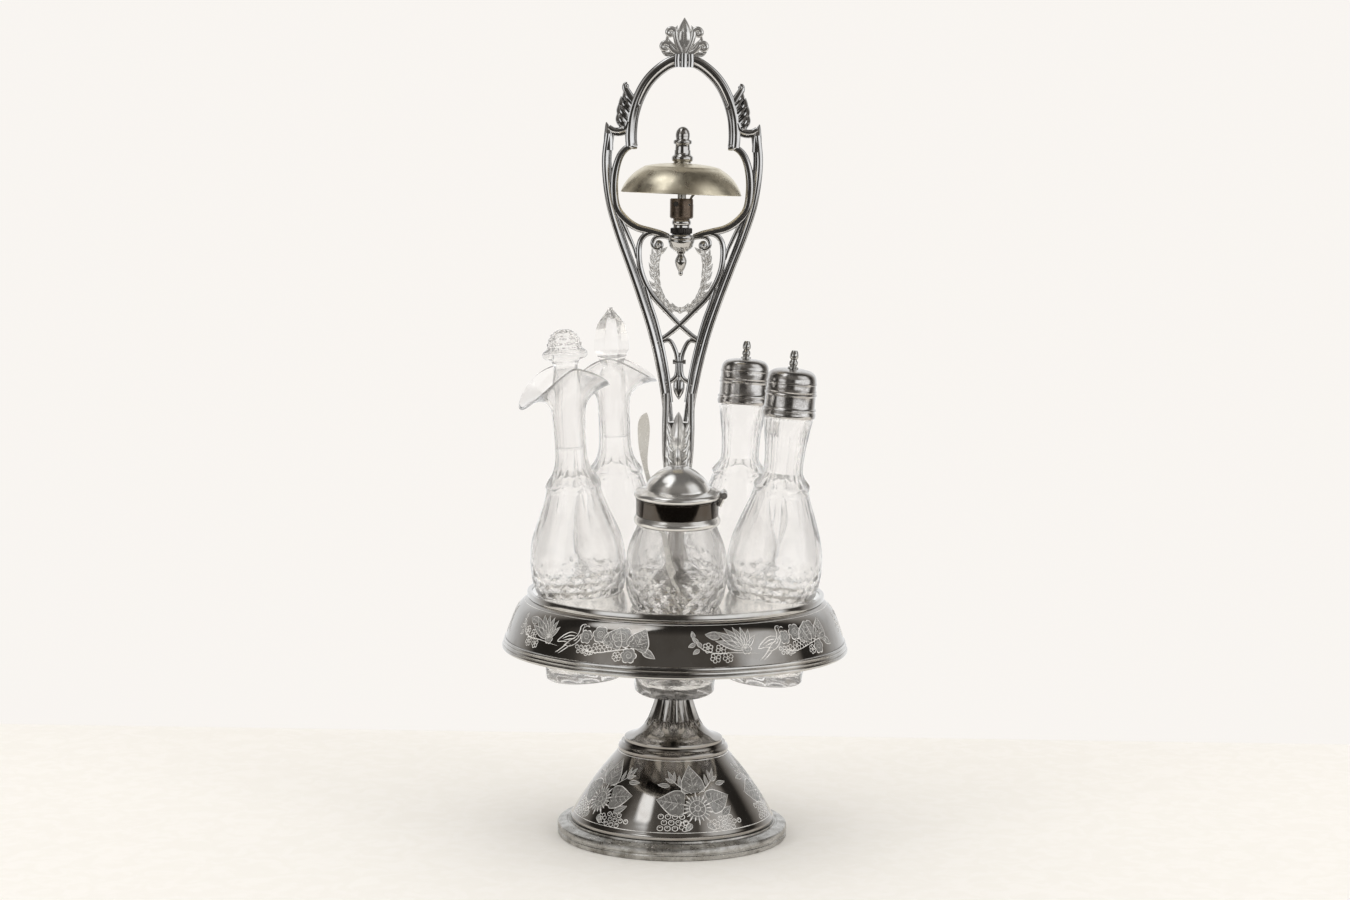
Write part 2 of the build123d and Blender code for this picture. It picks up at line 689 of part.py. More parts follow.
with BuildPart() as cruet_front_stopper:
    with BuildSketch(upright(cruet_front_seat)):
        with BuildLine():
            Polyline((0, 80.0), (6.8, 80.0), (7.35, 81.0), (7.75, 118.0), (6.4, 122.0), (5.6, 127.0))
            Spline((5.6, 127.0), (7.4, 130.4), (12.4, 131.6))
            ThreePointArc((12.4, 131.6), (13.2, 133.0), (12.2, 134.2))
            Spline((12.2, 134.2), (9.4, 142.4), (0, 146.6), tangents=((0.1, 1), (-1, 0)))
            Line((0, 146.6), (0, 80.0))
        make_face()
    revolve(axis=turning_axis(cruet_front_seat))
cruet_front_stopper.part.label = "cruet_front_stopper"

with BuildPart() as cruet_back_stopper:
    with BuildSketch(upright(cruet_back_seat)):
        with BuildLine():
            Polyline((0, 80.0), (6.8, 80.0), (7.35, 81.0), (7.75, 118.0), (6.4, 121.0), (6.4, 127.0))
            Polyline((6.4, 127.0), (0, 127.0), (0, 80.0))
        make_face()
    revolve(axis=turning_axis(cruet_back_seat))
    # Six-sided spire, widest just above its foot
    with BuildSketch(level(cruet_back_seat, 127.0)):
        RegularPolygon(7.4, 6)
    with BuildSketch(level(cruet_back_seat, 132.5)):
        RegularPolygon(11.8, 6)
    loft(ruled=True)
    with BuildSketch(level(cruet_back_seat, 132.5)):
        RegularPolygon(11.8, 6)
    with BuildSketch(level(cruet_back_seat, 149.0)):
        RegularPolygon(4.4, 6)
    loft(ruled=True)
    with BuildSketch(level(cruet_back_seat, 149.0)):
        RegularPolygon(4.4, 6)
    with BuildSketch(level(cruet_back_seat, 155.2)):
        RegularPolygon(1.2, 6)
    loft(ruled=True)
cruet_back_stopper.part.label = "cruet_back_stopper"

# ---------------------------------------------------------------- mustard pot

with BuildPart() as mustard_jar:
    with BuildSketch(upright(front_seat)):
        with BuildLine():
            Polyline((0, -48.0), (20.4, -48.0), (22.3, -45.4), (22.3, 0.1), (23.7, 0.1))
            Spline((23.7, 0.1), (27.0, 10.0), (27.8, 20.0), (25.6, 33.0), (22.0, 42.0))
            Polyline((22.0, 42.0), (21.3, 44.0), (21.3, 56.5), (19.4, 56.5), (19.2, 44.0))
            Spline((19.2, 44.0), (23.0, 32.0), (24.6, 20.0), (24.2, 10.0), (20.8, 0))
            Polyline((20.8, 0), (19.2, -8.0), (19.2, -40.0), (16.0, -43.5), (0, -43.5), (0, -48.0))
        make_face()
    revolve(axis=turning_axis(front_seat))
mustard_jar.part.label = "mustard_jar"

knuckle_place = upright(front_seat)

with BuildPart() as mustard_collar:
    with BuildSketch(upright(front_seat)):
        with BuildLine():
            Polyline((21.35, 45.0), (22.6, 45.0))
            ThreePointArc((22.6, 45.0), (23.4, 47.2), (22.4, 49.6))
            Polyline((22.4, 49.6), (22.2, 50.4), (22.2, 58.4), (22.6, 59.2), (19.6, 59.2))
            Polyline((19.6, 59.2), (19.6, 56.6), (21.35, 56.6), (21.35, 45.0))
        make_face()
    revolve(axis=turning_axis(front_seat))
    for middle in (-3.7, 3.7):
        with BuildSketch(knuckle_place.offset(-middle)):
            with Locations((lid_hinge_reach, lid_hinge_height)):
                Circle(knuckle_radius)
            with BuildLine():
                Polyline(
                    (22.1, 58.9),
                    (22.1, 54.0),
                    (lid_hinge_reach + knuckle_radius, lid_hinge_height),
                    (lid_hinge_reach, lid_hinge_height),
                    close=True,
                )
            make_face()
            with Locations((lid_hinge_reach, lid_hinge_height)):
                Circle(pin_radius + running_gap, mode=Mode.SUBTRACT)
        extrude(amount=1.4, both=True)
mustard_collar.part.label = "mustard_collar"

with BuildPart() as mustard_pin:
    with BuildSketch(knuckle_place):
        with Locations((lid_hinge_reach, lid_hinge_height)):
            Circle(pin_radius)
    extrude(amount=5.4, both=True)
mustard_pin.part.label = "mustard_pin"

with BuildPart() as mustard_lid:
    with BuildSketch(upright(front_seat)):
        with BuildLine():
            Polyline((0, 76.4), (0, 75.2))
            Spline((0, 75.2), (7.4, 73.6), (13.4, 69.0), (16.2, 63.6), tangents=((1, 0), (0.25, -1)))
            Polyline((16.2, 63.6), (17.6, lid_low), (22.6, lid_low))
            ThreePointArc((22.6, lid_low), (23.4, 61.2), (22.4, 62.8))
            Polyline((22.4, 62.8), (18.2, 63.8), (17.4, 64.0))
            Spline((17.4, 64.0), (14.2, 70.0), (7.8, 74.8), (0, 76.4), tangents=((-0.25, 1), (-1, 0)))
        make_face()
    revolve(axis=turning_axis(front_seat))
    # Notch for the spoon at the back left, and clearance for the collar's two knuckles
    with BuildSketch(level(front_seat, lid_low - 1.0)):
        with Locations((-20.5, 12.25)):
            Rectangle(20.0, 8.5)
        with Locations((lid_hinge_reach, 0)):
            Rectangle(5.2, 11.0)
    extrude(amount=20.0, mode=Mode.SUBTRACT)
    with BuildSketch(knuckle_place):
        with Locations((lid_hinge_reach, lid_hinge_height)):
            Circle(knuckle_radius)
        with Locations((22.4, lid_hinge_height)):
            Rectangle(4.6, 2.2)
        with Locations((lid_hinge_reach, lid_hinge_height)):
            Circle(pin_radius + running_gap, mode=Mode.SUBTRACT)
    extrude(amount=2.0, both=True)
mustard_lid.part.label = "mustard_lid"

# The spoon lies in a plane that holds both its own direction and the set's left and right
entry = front_seat.from_local_coords(spoon_entry)
slide = (front_seat.from_local_coords(spoon_entry + spoon_lean) - entry).normalized()
spoon_plane = Plane(origin=entry, x_dir=front_seat.x_dir, z_dir=front_seat.x_dir.cross(slide))

with BuildPart() as mustard_spoon:
    with BuildSketch(spoon_plane):
        with BuildLine():
            Line((21.7, -82.0), (-0.9, 6.0))
            Spline((-0.9, 6.0), (-3.4, 20.0), (-2.6, 36.0), (-4.2, 42.6))
            Spline((-4.2, 42.6), (-7.4, 40.4), (-9.0, 32.0), (-7.6, 20.0), (-3.9, 6.0))
            Polyline((-3.9, 6.0), (18.7, -82.0), (21.7, -82.0))
        make_face()
    extrude(amount=0.7, both=True)
    with BuildSketch(spoon_plane):
        with Locations((20.9, -86.0)):
            Ellipse(5.0, 7.0, rotation=15)
    extrude(amount=1.4, both=True)
    with BuildSketch(spoon_plane.offset(0.4)):
        with Locations((20.9, -86.0)):
            Ellipse(3.8, 5.8, rotation=15)
    extrude(amount=2.0, mode=Mode.SUBTRACT)
mustard_spoon.part.label = "mustard_spoon"

built_parts = (
    foot_rim, foot_cone, fluted_stem, stem_bush, spindle, spindle_nut, tray_hub, tray_plate,
    tray_bead, tray_skirt, tray_moulding, centre_post, handle_frame, crest_palmette, laurel_garland,
    drop_finial, bell_hub, lower_ring, upper_ring, bell_barrel, barrel_screw, bell_post, bell_cup,
    bell_nut, plunger_button, plunger_rod, return_spring, striker_pin, striker_arm,
    cruet_front_stopper, cruet_back_stopper, mustard_jar, mustard_collar, mustard_pin, mustard_lid,
    mustard_spoon,
)
bottle_parts = (
    cruet_front_glass, cruet_back_glass, shaker_front_glass, shaker_back_glass, shaker_front_cap,
    shaker_back_cap, shaker_front_finial, shaker_back_finial,
)
for piece in [built.part for built in built_parts] + list(bottle_parts):
    export_step(piece, f"parts/{piece.label}.step")
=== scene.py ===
"""Looks of the silver-plated cruet set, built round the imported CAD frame.

Outlines are written in millimetres, in each piece's own frame, and become metres when a
mesh is made. Places come from the frame's boxes and joint axes."""

import json
import math
import random

import bpy
import numpy as np
from mathutils import Matrix, Vector, noise


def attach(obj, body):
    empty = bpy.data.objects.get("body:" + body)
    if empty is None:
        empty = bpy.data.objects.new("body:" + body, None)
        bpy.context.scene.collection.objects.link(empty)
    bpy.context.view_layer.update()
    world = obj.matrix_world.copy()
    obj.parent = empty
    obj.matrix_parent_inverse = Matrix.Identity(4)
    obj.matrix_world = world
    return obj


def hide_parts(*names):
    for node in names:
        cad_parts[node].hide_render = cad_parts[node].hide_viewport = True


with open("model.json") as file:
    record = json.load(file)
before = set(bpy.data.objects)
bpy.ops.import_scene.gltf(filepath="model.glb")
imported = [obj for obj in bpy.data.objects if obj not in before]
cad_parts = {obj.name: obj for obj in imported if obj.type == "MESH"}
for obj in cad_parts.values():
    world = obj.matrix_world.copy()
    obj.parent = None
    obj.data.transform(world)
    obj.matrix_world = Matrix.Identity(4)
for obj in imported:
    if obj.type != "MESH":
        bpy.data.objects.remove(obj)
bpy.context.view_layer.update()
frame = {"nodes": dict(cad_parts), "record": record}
record = frame["record"]
joints = {joint["name"]: joint for joint in record["behaviour"]["joints"]}
random.seed(7)

MM = 0.001
TAU = 2.0 * math.pi

# ------------------------------------------------------------------ camera, light, floor

SENSOR_WIDTH = 36.0
CAMERA_LENS = 70.17
CAMERA_REACH = 50.0
CAMERA_PLACE = (-0.0040, -1.4622, 0.3725)
CAMERA_TURN = math.radians(-0.094)
CAMERA_DIP = math.radians(6.028)
CAMERA_ROLL = math.radians(0.895)
camera_data = bpy.data.cameras.new("camera")
camera_data.sensor_width = SENSOR_WIDTH
camera_data.lens = CAMERA_LENS
camera_data.clip_end = CAMERA_REACH
camera = bpy.data.objects.new("camera", camera_data)
bpy.context.collection.objects.link(camera)
facing = Matrix.Rotation(CAMERA_TURN, 4, "Z") @ Matrix.Rotation(math.radians(90) - CAMERA_DIP, 4, "X")
camera.matrix_world = Matrix.Translation(CAMERA_PLACE) @ facing @ Matrix.Rotation(CAMERA_ROLL, 4, "Z")
bpy.context.scene.camera = camera
bpy.context.scene.view_settings.view_transform = "Standard"


def node_adder(owner):
    """A short way to add linked nodes to the owner's node tree, which is cleared first."""
    owner.use_nodes = True
    tree = owner.node_tree
    tree.nodes.clear()

    def add(kind, inputs=(), **settings):
        """A new node: a socket among the inputs is linked, anything else is its value."""
        node = tree.nodes.new(kind)
        for key, value in settings.items():
            setattr(node, key, value)
        for key, value in dict(inputs).items():
            if isinstance(value, bpy.types.NodeSocket):
                tree.links.new(value, node.inputs[key])
            else:
                node.inputs[key].default_value = value
        return node

    return add


ROOM_LIGHT = 0.042
BRIGHTEST = 1.9
SKYLIGHT_TOWARDS = (-0.37, -0.04, 0.93)
# Each box: from, to and softness round the set (radians from the front), the same in height, power
SOFT_BOXES = (
    ((0.26, 1.60, 0.10), (-0.12, 0.24, 0.06), 1.15),
    ((-1.12, -0.50, 0.08), (-0.12, 0.24, 0.06), 1.05),
    ((0.80, 1.55, 0.16), (0.24, 0.78, 0.12), 0.9),
    ((-1.10, -0.60, 0.18), (0.24, 0.72, 0.12), 0.42),
    ((-0.98, -0.62, 0.06), (0.70, 0.94, 0.05), 2.4),
)
SURROUNDINGS = (0.945, 0.915, 0.880, 1)
GLASS_DIMMING = 0.30


def make_world():
    """Near-white surroundings; mirrored in metal, a dim room with soft boxes and a pale wall behind."""
    world = bpy.data.worlds.new("studio")
    bpy.context.scene.world = world
    add = node_adder(world)
    path = add("ShaderNodeLightPath")
    where = add("ShaderNodeTexCoord")
    split = add("ShaderNodeSeparateXYZ", {"Vector": where.outputs["Generated"]})
    x, y, z = split.outputs

    def maths(operation, a, b=0.0):
        """The output of one arithmetic node."""
        return add("ShaderNodeMath", {0: a, 1: b}, operation=operation).outputs[0]

    def ramp(value, low, high, top=1.0):
        """0 at low and top at high, held outside them."""
        return add("ShaderNodeMapRange", {"Value": value, "From Min": low, "From Max": high,
                                          "To Max": top}).outputs[0]

    def band(value, low, high, soft):
        """1 between low and high, with soft edges."""
        rise = ramp(value, low - soft, low + soft)
        return maths("MULTIPLY", rise, ramp(value, high + soft, high - soft))

    around = maths("ARCTAN2", x, maths("MULTIPLY", y, -1.0))
    total = ROOM_LIGHT
    for sides, heights, power in SOFT_BOXES:
        box = maths("MULTIPLY", band(around, *sides), band(z, *heights))
        total = maths("ADD", maths("MULTIPLY", box, power), total)
    towards = add("ShaderNodeVectorMath", {0: where.outputs["Generated"], 1: SKYLIGHT_TOWARDS},
                  operation="DOT_PRODUCT")
    skylight = ramp(towards.outputs["Value"], 0.955, 0.985)
    overhead = maths("MULTIPLY", band(z, 0.30, 0.86, 0.14), ramp(y, 0.05, -0.35))
    for patch, power in ((ramp(y, 0.34, 0.86), 0.95), (skylight, 1.5), (overhead, 0.10)):
        total = maths("ADD", maths("MULTIPLY", patch, power), total)
    total = maths("MINIMUM", total, BRIGHTEST)
    tint = ramp(total, 0.08, 0.8)
    room = add("ShaderNodeMix", {"Factor": tint, "A": (1.0, 0.92, 0.83, 1), "B": (0.98, 0.99, 1.0, 1)},
               data_type="RGBA")
    dimmer = ramp(y, 0.05, -0.65, GLASS_DIMMING)
    turned_back = maths("MULTIPLY", path.outputs["Is Transmission Ray"], dimmer)
    seen = add("ShaderNodeBackground", {"Color": SURROUNDINGS,
                                        "Strength": maths("SUBTRACT", 1.0, turned_back)})
    mirror = add("ShaderNodeBackground", {"Color": room.outputs["Result"], "Strength": total})
    through = maths("SUBTRACT", 1.0, path.outputs["Is Transmission Ray"])
    chosen = maths("MULTIPLY", path.outputs["Is Glossy Ray"], through)
    pick = add("ShaderNodeMixShader", {"Fac": chosen, 1: seen.outputs[0], 2: mirror.outputs[0]})
    add("ShaderNodeOutputWorld", {"Surface": pick.outputs[0]})


TABLE_FRONT = -0.42
TABLE_BACK = 0.262
TABLE_HALF_WIDTH = 2.2


def make_floor():
    """A table top under a pale damask cloth."""
    corners = [(-TABLE_HALF_WIDTH, TABLE_FRONT, 0), (TABLE_HALF_WIDTH, TABLE_FRONT, 0),
               (TABLE_HALF_WIDTH, TABLE_BACK, 0), (-TABLE_HALF_WIDTH, TABLE_BACK, 0)]
    data = bpy.data.meshes.new("floor")
    data.from_pydata(corners, [], [(0, 1, 2, 3)])
    floor = bpy.data.objects.new("floor", data)
    bpy.context.collection.objects.link(floor)
    material = bpy.data.materials.new("cloth")
    add = node_adder(material)
    where = add("ShaderNodeTexCoord")
    damask = add("ShaderNodeTexNoise", {"Vector": where.outputs["Object"], "Scale": 75.0, "Detail": 5.0,
                                        "Distortion": 1.2})
    figure = add("ShaderNodeMapRange", {"Value": damask.outputs["Fac"], "From Min": 0.44,
                                        "From Max": 0.60})
    tone = add("ShaderNodeMix", {"Factor": figure.outputs[0], "A": (0.950, 0.935, 0.895, 1),
                                 "B": (0.972, 0.958, 0.925, 1)}, data_type="RGBA")
    shade = add("ShaderNodeBsdfPrincipled", {"Base Color": tone.outputs["Result"], "Roughness": 0.9,
                                             "Specular IOR Level": 0.1})
    add("ShaderNodeOutputMaterial", {"Surface": shade.outputs[0]})
    floor.data.materials.append(material)


def add_lamp(name, place, size, power):
    """A soft rectangular lamp that faces the set's middle."""
    lamp = bpy.data.lights.new(name, "AREA")
    lamp.shape = "RECTANGLE"
    lamp.size = size[0]
    lamp.size_y = size[1]
    lamp.energy = power
    holder = bpy.data.objects.new(name, lamp)
    holder.visible_glossy = False
    bpy.context.collection.objects.link(holder)
    holder.location = place
    aim = Vector((0, 0, 0.22)) - Vector(place)
    holder.rotation_euler = aim.to_track_quat("-Z", "Y").to_euler()


make_world()
make_floor()
add_lamp("lamp_left", place=(-1.5, -1.3, 1.3), size=(0.7, 1.1), power=5.5)
add_lamp("lamp_right", place=(1.5, -1.2, 1.2), size=(0.6, 1.0), power=4.5)

# ------------------------------------------------------------------ materials

SCRATCH_DEPTH = 0.00004


def metal(name, colour, dark, roughness, stain_scale, stain, scratch, spot=None, metallic=1.0):
    """Polished plate with tarnish in its colour and roughness, and fine scratches in its bump."""
    material = bpy.data.materials.new(name)
    add = node_adder(material)
    where = add("ShaderNodeTexCoord")
    place = where.outputs["Object"]
    blotch = add("ShaderNodeTexNoise", {"Vector": place, "Scale": stain_scale, "Detail": 6.0,
                                        "Roughness": 0.6})
    fine = add("ShaderNodeTexNoise", {"Vector": place, "Scale": stain_scale * 5, "Detail": 3.0})
    mask = add("ShaderNodeMapRange", {"Value": blotch.outputs["Fac"], "From Min": 0.42, "From Max": 0.68,
                                      "To Max": stain})
    tone = add("ShaderNodeMix", {"Factor": mask.outputs[0], "A": (*colour, 1), "B": (*dark, 1)},
               data_type="RGBA")
    base = tone.outputs["Result"]
    if spot:
        grains = add("ShaderNodeTexNoise", {"Vector": place, "Scale": stain_scale * 14, "Detail": 2.0})
        pick = add("ShaderNodeMapRange", {"Value": grains.outputs["Fac"], "From Min": 0.60,
                                          "From Max": 0.66})
        speckled = add("ShaderNodeMix", {"Factor": pick.outputs[0], "A": base, "B": (*spot, 1)},
                       data_type="RGBA")
        base = speckled.outputs["Result"]
    rough = add("ShaderNodeMapRange", {"Value": fine.outputs["Fac"], "From Min": 0.3, "From Max": 0.75,
                                       "To Min": roughness * 0.85, "To Max": roughness * 1.4})
    stretch = add("ShaderNodeMapping", {"Vector": place, "Scale": (1.0, 1.0, 0.12)})
    lines = add("ShaderNodeTexNoise", {"Vector": stretch.outputs[0], "Scale": 900.0, "Detail": 3.0})
    bump = add("ShaderNodeBump", {"Height": lines.outputs["Fac"], "Strength": scratch,
                                  "Distance": SCRATCH_DEPTH})
    shade = add("ShaderNodeBsdfPrincipled", {"Base Color": base, "Metallic": metallic,
                                             "Roughness": rough.outputs[0], "Normal": bump.outputs[0]})
    add("ShaderNodeOutputMaterial", {"Surface": shade.outputs[0]})
    return material


GLASS_TINT = (1.0, 0.998, 0.996, 1)
GLASS_INDEX = 1.47
GLASS_ALPHA = 0.84


def glass(name):
    """Clear pressed glass, with faint waviness and smears."""
    material = bpy.data.materials.new(name)
    add = node_adder(material)
    where = add("ShaderNodeTexCoord")
    ripple = add("ShaderNodeTexNoise", {"Vector": where.outputs["Object"], "Scale": 70.0, "Detail": 2.0})
    bump = add("ShaderNodeBump", {"Height": ripple.outputs["Fac"], "Strength": 0.012, "Distance": 0.0006})
    smear = add("ShaderNodeTexNoise", {"Vector": where.outputs["Object"], "Scale": 160.0, "Detail": 4.0})
    rough = add("ShaderNodeMapRange", {"Value": smear.outputs["Fac"], "From Min": 0.45, "From Max": 0.8,
                                       "To Min": 0.0, "To Max": 0.012})
    shade = add("ShaderNodeBsdfPrincipled", {"Base Color": GLASS_TINT, "Roughness": rough.outputs[0],
                                             "IOR": GLASS_INDEX, "Transmission Weight": 1.0,
                                             "Alpha": GLASS_ALPHA, "Normal": bump.outputs[0]})
    add("ShaderNodeOutputMaterial", {"Surface": shade.outputs[0]})
    return material


# Each: colour, tarnish, roughness, the tarnish's scale and amount, strength of the scratches
dark_silver = metal("dark_silver", (0.40, 0.385, 0.365), (0.22, 0.185, 0.15), 0.075, 40.0, 0.5, 0.12)
handle_silver = metal("handle_silver", (0.68, 0.675, 0.67), (0.34, 0.325, 0.305), 0.10, 60.0, 0.5, 0.03)
cut_silver = metal("cut_silver", (0.93, 0.92, 0.90), (0.62, 0.60, 0.57), 0.34, 160.0, 0.6, 0.5,
                   metallic=0.4)
# Lighter copy of the handle's silver for the blade leaves and the garland: partly rubbed bright silver,
# partly a painted highlight.
worn_and_painted_highlight_leaf_silver = metal("worn_and_painted_highlight_leaf_silver", (0.88, 0.875, 0.86), (0.50, 0.48, 0.45), 0.15, 150.0, 0.6, 0.1,
                    metallic=0.66)
# Lighter copy of the handle's silver for the crest: a painted highlight, standing in for the bright glints
# the crest throws.
painted_highlight_crest_silver = metal("painted_highlight_crest_silver", (0.82, 0.815, 0.80), (0.42, 0.40, 0.375), 0.12, 90.0, 0.6, 0.05,
                     metallic=0.85)
frosted_silver = metal("frosted_silver", (0.34, 0.335, 0.325), (0.17, 0.165, 0.155), 0.34, 260.0, 0.9, 0.5,
                       spot=(0.66, 0.65, 0.63), metallic=0.7)
worn_silver = metal("worn_silver", (0.52, 0.51, 0.49), (0.20, 0.185, 0.16), 0.28, 130.0, 0.95, 0.6,
                    spot=(0.50, 0.485, 0.45))
bright_silver = metal("bright_silver", (0.60, 0.59, 0.57), (0.36, 0.33, 0.30), 0.11, 60.0, 0.5, 0.1)
lid_silver = metal("lid_silver", (0.78, 0.77, 0.75), (0.50, 0.47, 0.43), 0.17, 60.0, 0.6, 0.15,
                   metallic=0.88)
plate_silver = metal("plate_silver", (0.86, 0.85, 0.82), (0.60, 0.57, 0.52), 0.14, 30.0, 0.5, 0.3)
# Near-black copy of the lid's silver for the collar band: painted shade, standing in for the dark room the
# polished band mirrors.
painted_shade_band_silver = metal("painted_shade_band_silver", (0.11, 0.10, 0.09), (0.08, 0.06, 0.045), 0.09, 90.0, 0.7, 0.2)
cap_silver = metal("cap_silver", (0.62, 0.605, 0.59), (0.32, 0.295, 0.275), 0.17, 110.0, 0.8, 0.2,
                   spot=(0.74, 0.72, 0.69))
spoon_silver = metal("spoon_silver", (0.84, 0.825, 0.775), (0.68, 0.65, 0.59), 0.24, 60.0, 0.5, 0.1,
                     metallic=0.35)
bell_brass = metal("bell_brass", (0.80, 0.73, 0.57), (0.66, 0.58, 0.42), 0.30, 40.0, 0.6, 0.03)
bronze = metal("bronze", (0.17, 0.13, 0.10), (0.07, 0.055, 0.045), 0.30, 150.0, 0.8, 0.5,
               spot=(0.27, 0.21, 0.16))
black_metal = metal("black_metal", (0.06, 0.055, 0.05), (0.03, 0.028, 0.025), 0.28, 150.0, 0.6, 0.3)
turned_steel = metal("turned_steel", (0.50, 0.49, 0.47), (0.30, 0.28, 0.26), 0.25, 80.0, 0.5, 0.5)
turned_brass = metal("turned_brass", (0.62, 0.48, 0.24), (0.36, 0.26, 0.12), 0.28, 80.0, 0.5, 0.5)
clear_glass = glass("clear_glass")

# ------------------------------------------------------------------ mesh helpers


def smooth_step(value, low, high):
    """0 below low, 1 above high, and an eased rise between them."""
    t = min(max((value - low) / (high - low), 0.0), 1.0)
    return t * t * (3 - 2 * t)


def curve(points, samples=8):
    """A smooth line through points (centripetal Catmull-Rom), as an array."""
    p = np.array(points, float)
    p = np.vstack([2 * p[:1] - p[1:2], p, 2 * p[-1:] - p[-2:-1]])
    out = []
    for a, b, c, d in zip(p[:-3], p[1:-2], p[2:-1], p[3:]):
        t = np.cumsum([0.0] + [max(np.linalg.norm(v) ** 0.5, 1e-6) for v in (b - a, c - b, d - c)])
        for s in np.linspace(t[1], t[2], samples, endpoint=False):
            ab = (t[1] - s) / (t[1] - t[0]) * a + (s - t[0]) / (t[1] - t[0]) * b
            bc = (t[2] - s) / (t[2] - t[1]) * b + (s - t[1]) / (t[2] - t[1]) * c
            cd = (t[3] - s) / (t[3] - t[2]) * c + (s - t[2]) / (t[3] - t[2]) * d
            e = (t[2] - s) / (t[2] - t[0]) * ab + (s - t[0]) / (t[2] - t[0]) * bc
            f = (t[3] - s) / (t[3] - t[1]) * bc + (s - t[1]) / (t[3] - t[1]) * cd
            out.append((t[2] - s) / (t[2] - t[1]) * e + (s - t[1]) / (t[2] - t[1]) * f)
    out.append(p[-2])
    return np.array(out)


def bend(points, samples):
    """The curve through points as a list of pairs, ready to join to an outline."""
    return [tuple(p) for p in curve(points, samples)]


def piece(name, verts, faces, material, body, replaced, slot, matrix=None, sharp=35.0):
    """One finished mesh from millimetre points: smooth, riding on its body, standing for CAD nodes."""
    data = bpy.data.meshes.new(name)
    data.from_pydata([tuple(v) for v in np.asarray(verts, float) * MM], [], [tuple(f) for f in faces])
    data.validate()
    data.materials.append(material)
    made = bpy.data.objects.new(name, data)
    bpy.context.collection.objects.link(made)
    if matrix is not None:
        data.transform(matrix)
    for face in data.polygons:
        face.use_smooth = True
    data.set_sharp_from_angle(angle=math.radians(sharp))
    data.update()
    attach(made, body)
    if replaced:
        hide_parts(*replaced)


def ring_faces(low, high):
    """Faces between two rings of vertex numbers, either of which may be a single point."""
    faces = []
    count = max(len(low), len(high))
    for k in range(count):
        n = (k + 1) % count
        if len(low) == 1:
            faces.append((low[0], high[n], high[k]))
        elif len(high) == 1:
            faces.append((low[k], low[n], high[0]))
        else:
            faces.append((low[k], low[n], high[n], high[k]))
    return faces


def turned(outline, segments=96, closed=True, wave=None):
    """Vertices and faces of an outline of (radius, height) turned about Z.
    wave(radius, height, angle) may move a point to a new (radius, height)."""
    outline = np.array(outline, float)
    rings, verts, faces = [], [], []
    for radius, height in outline:
        if radius < 1e-4:
            rings.append([len(verts)])
            verts.append((0.0, 0.0, height))
            continue
        ring = []
        for k in range(segments):
            angle = TAU * k / segments
            r, h = wave(radius, height, angle) if wave else (radius, height)
            ring.append(len(verts))
            verts.append((r * math.cos(angle), r * math.sin(angle), h))
        rings.append(ring)
    pairs = list(zip(rings[:-1], rings[1:]))
    if closed and len(rings[0]) > 1 and len(rings[-1]) > 1:
        pairs.append((rings[-1], rings[0]))
    for low, high in pairs:
        if len(low) > 1 or len(high) > 1:
            faces += ring_faces(low, high)
    return verts, faces


def joined(parts):
    """Several (vertices, faces) as one."""
    verts, faces = [], []
    for v, f in parts:
        start = len(verts)
        verts.extend([tuple(p) for p in v])
        faces.extend([tuple(i + start for i in face) for face in f])
    return verts, faces


def mirrored(part):
    """The same shape on the other side of the YZ plane."""
    verts, faces = part
    return [(-x, y, z) for x, y, z in verts], [tuple(reversed(f)) for f in faces]


def directions(line):
    """The unit direction along a line at each of its points."""
    tangent = np.gradient(line, axis=0)
    return tangent / np.maximum(np.linalg.norm(tangent, axis=1)[:, None], 1e-9)


def tube_faces(rows, count):
    """Faces of a closed tube of rows of count vertices, with both ends."""
    faces = []
    for i in range(rows - 1):
        for k in range(count):
            n = (k + 1) % count
            faces.append((i * count + k, i * count + n, (i + 1) * count + n, (i + 1) * count + k))
    faces.append(tuple(reversed(range(count))))
    faces.append(tuple(range((rows - 1) * count, rows * count)))
    return faces


def swept(line, section, size=lambda t: 1.0, depth_size=None):
    """A closed section of (across, depth) points swept along a line in the XZ plane."""
    line = np.array(line, float)
    section = np.array(section, float)
    along = directions(line)
    verts = []
    for (x, z), (az, ax), t in zip(line, along * (-1, 1), np.linspace(0, 1, len(line))):
        wide = size(t)
        deep = depth_size(t) if depth_size else wide
        for a, d in section:
            verts.append((x + ax * a * wide, d * deep, z + az * a * wide))
    return verts, tube_faces(len(line), len(section))


def rounded(wide, deep, corners=3, roundness=0.42):
    """A rounded bar's section, wide across and deep front to back."""
    out = []
    for cx, cy, start in ((1, 1, 0), (-1, 1, 90), (-1, -1, 180), (1, -1, 270)):
        radius = min(wide, deep) * roundness
        for k in range(corners + 1):
            angle = math.radians(start + 90 * k / corners)
            out.append((cx * (wide / 2 - radius) + radius * math.cos(angle),
                        cy * (deep / 2 - radius) + radius * math.sin(angle)))
    return out


def seat_matrix(node, joint, depth):
    """The frame of a turned bottle: origin on its axis, depth millimetres above its lowest ring."""
    axis = Vector(joints[joint]["axis"]).normalized()
    right = (Vector((1, 0, 0)) - axis * axis.x).normalized()
    back = axis.cross(right)
    points = np.array([v.co for v in frame["nodes"][node].data.vertices], float)
    along = points @ np.array(axis)
    foot = points[along < along.min() + 0.002]
    spots = [foot @ np.array(side) for side in (right, back)]
    middle = [float(spot.min() + spot.max()) / 2 for spot in spots]
    origin = right * middle[0] + back * middle[1] + axis * float(along.min() + depth * MM)
    turn = Matrix((right, back, axis)).transposed().to_4x4()
    return Matrix.Translation(origin) @ turn


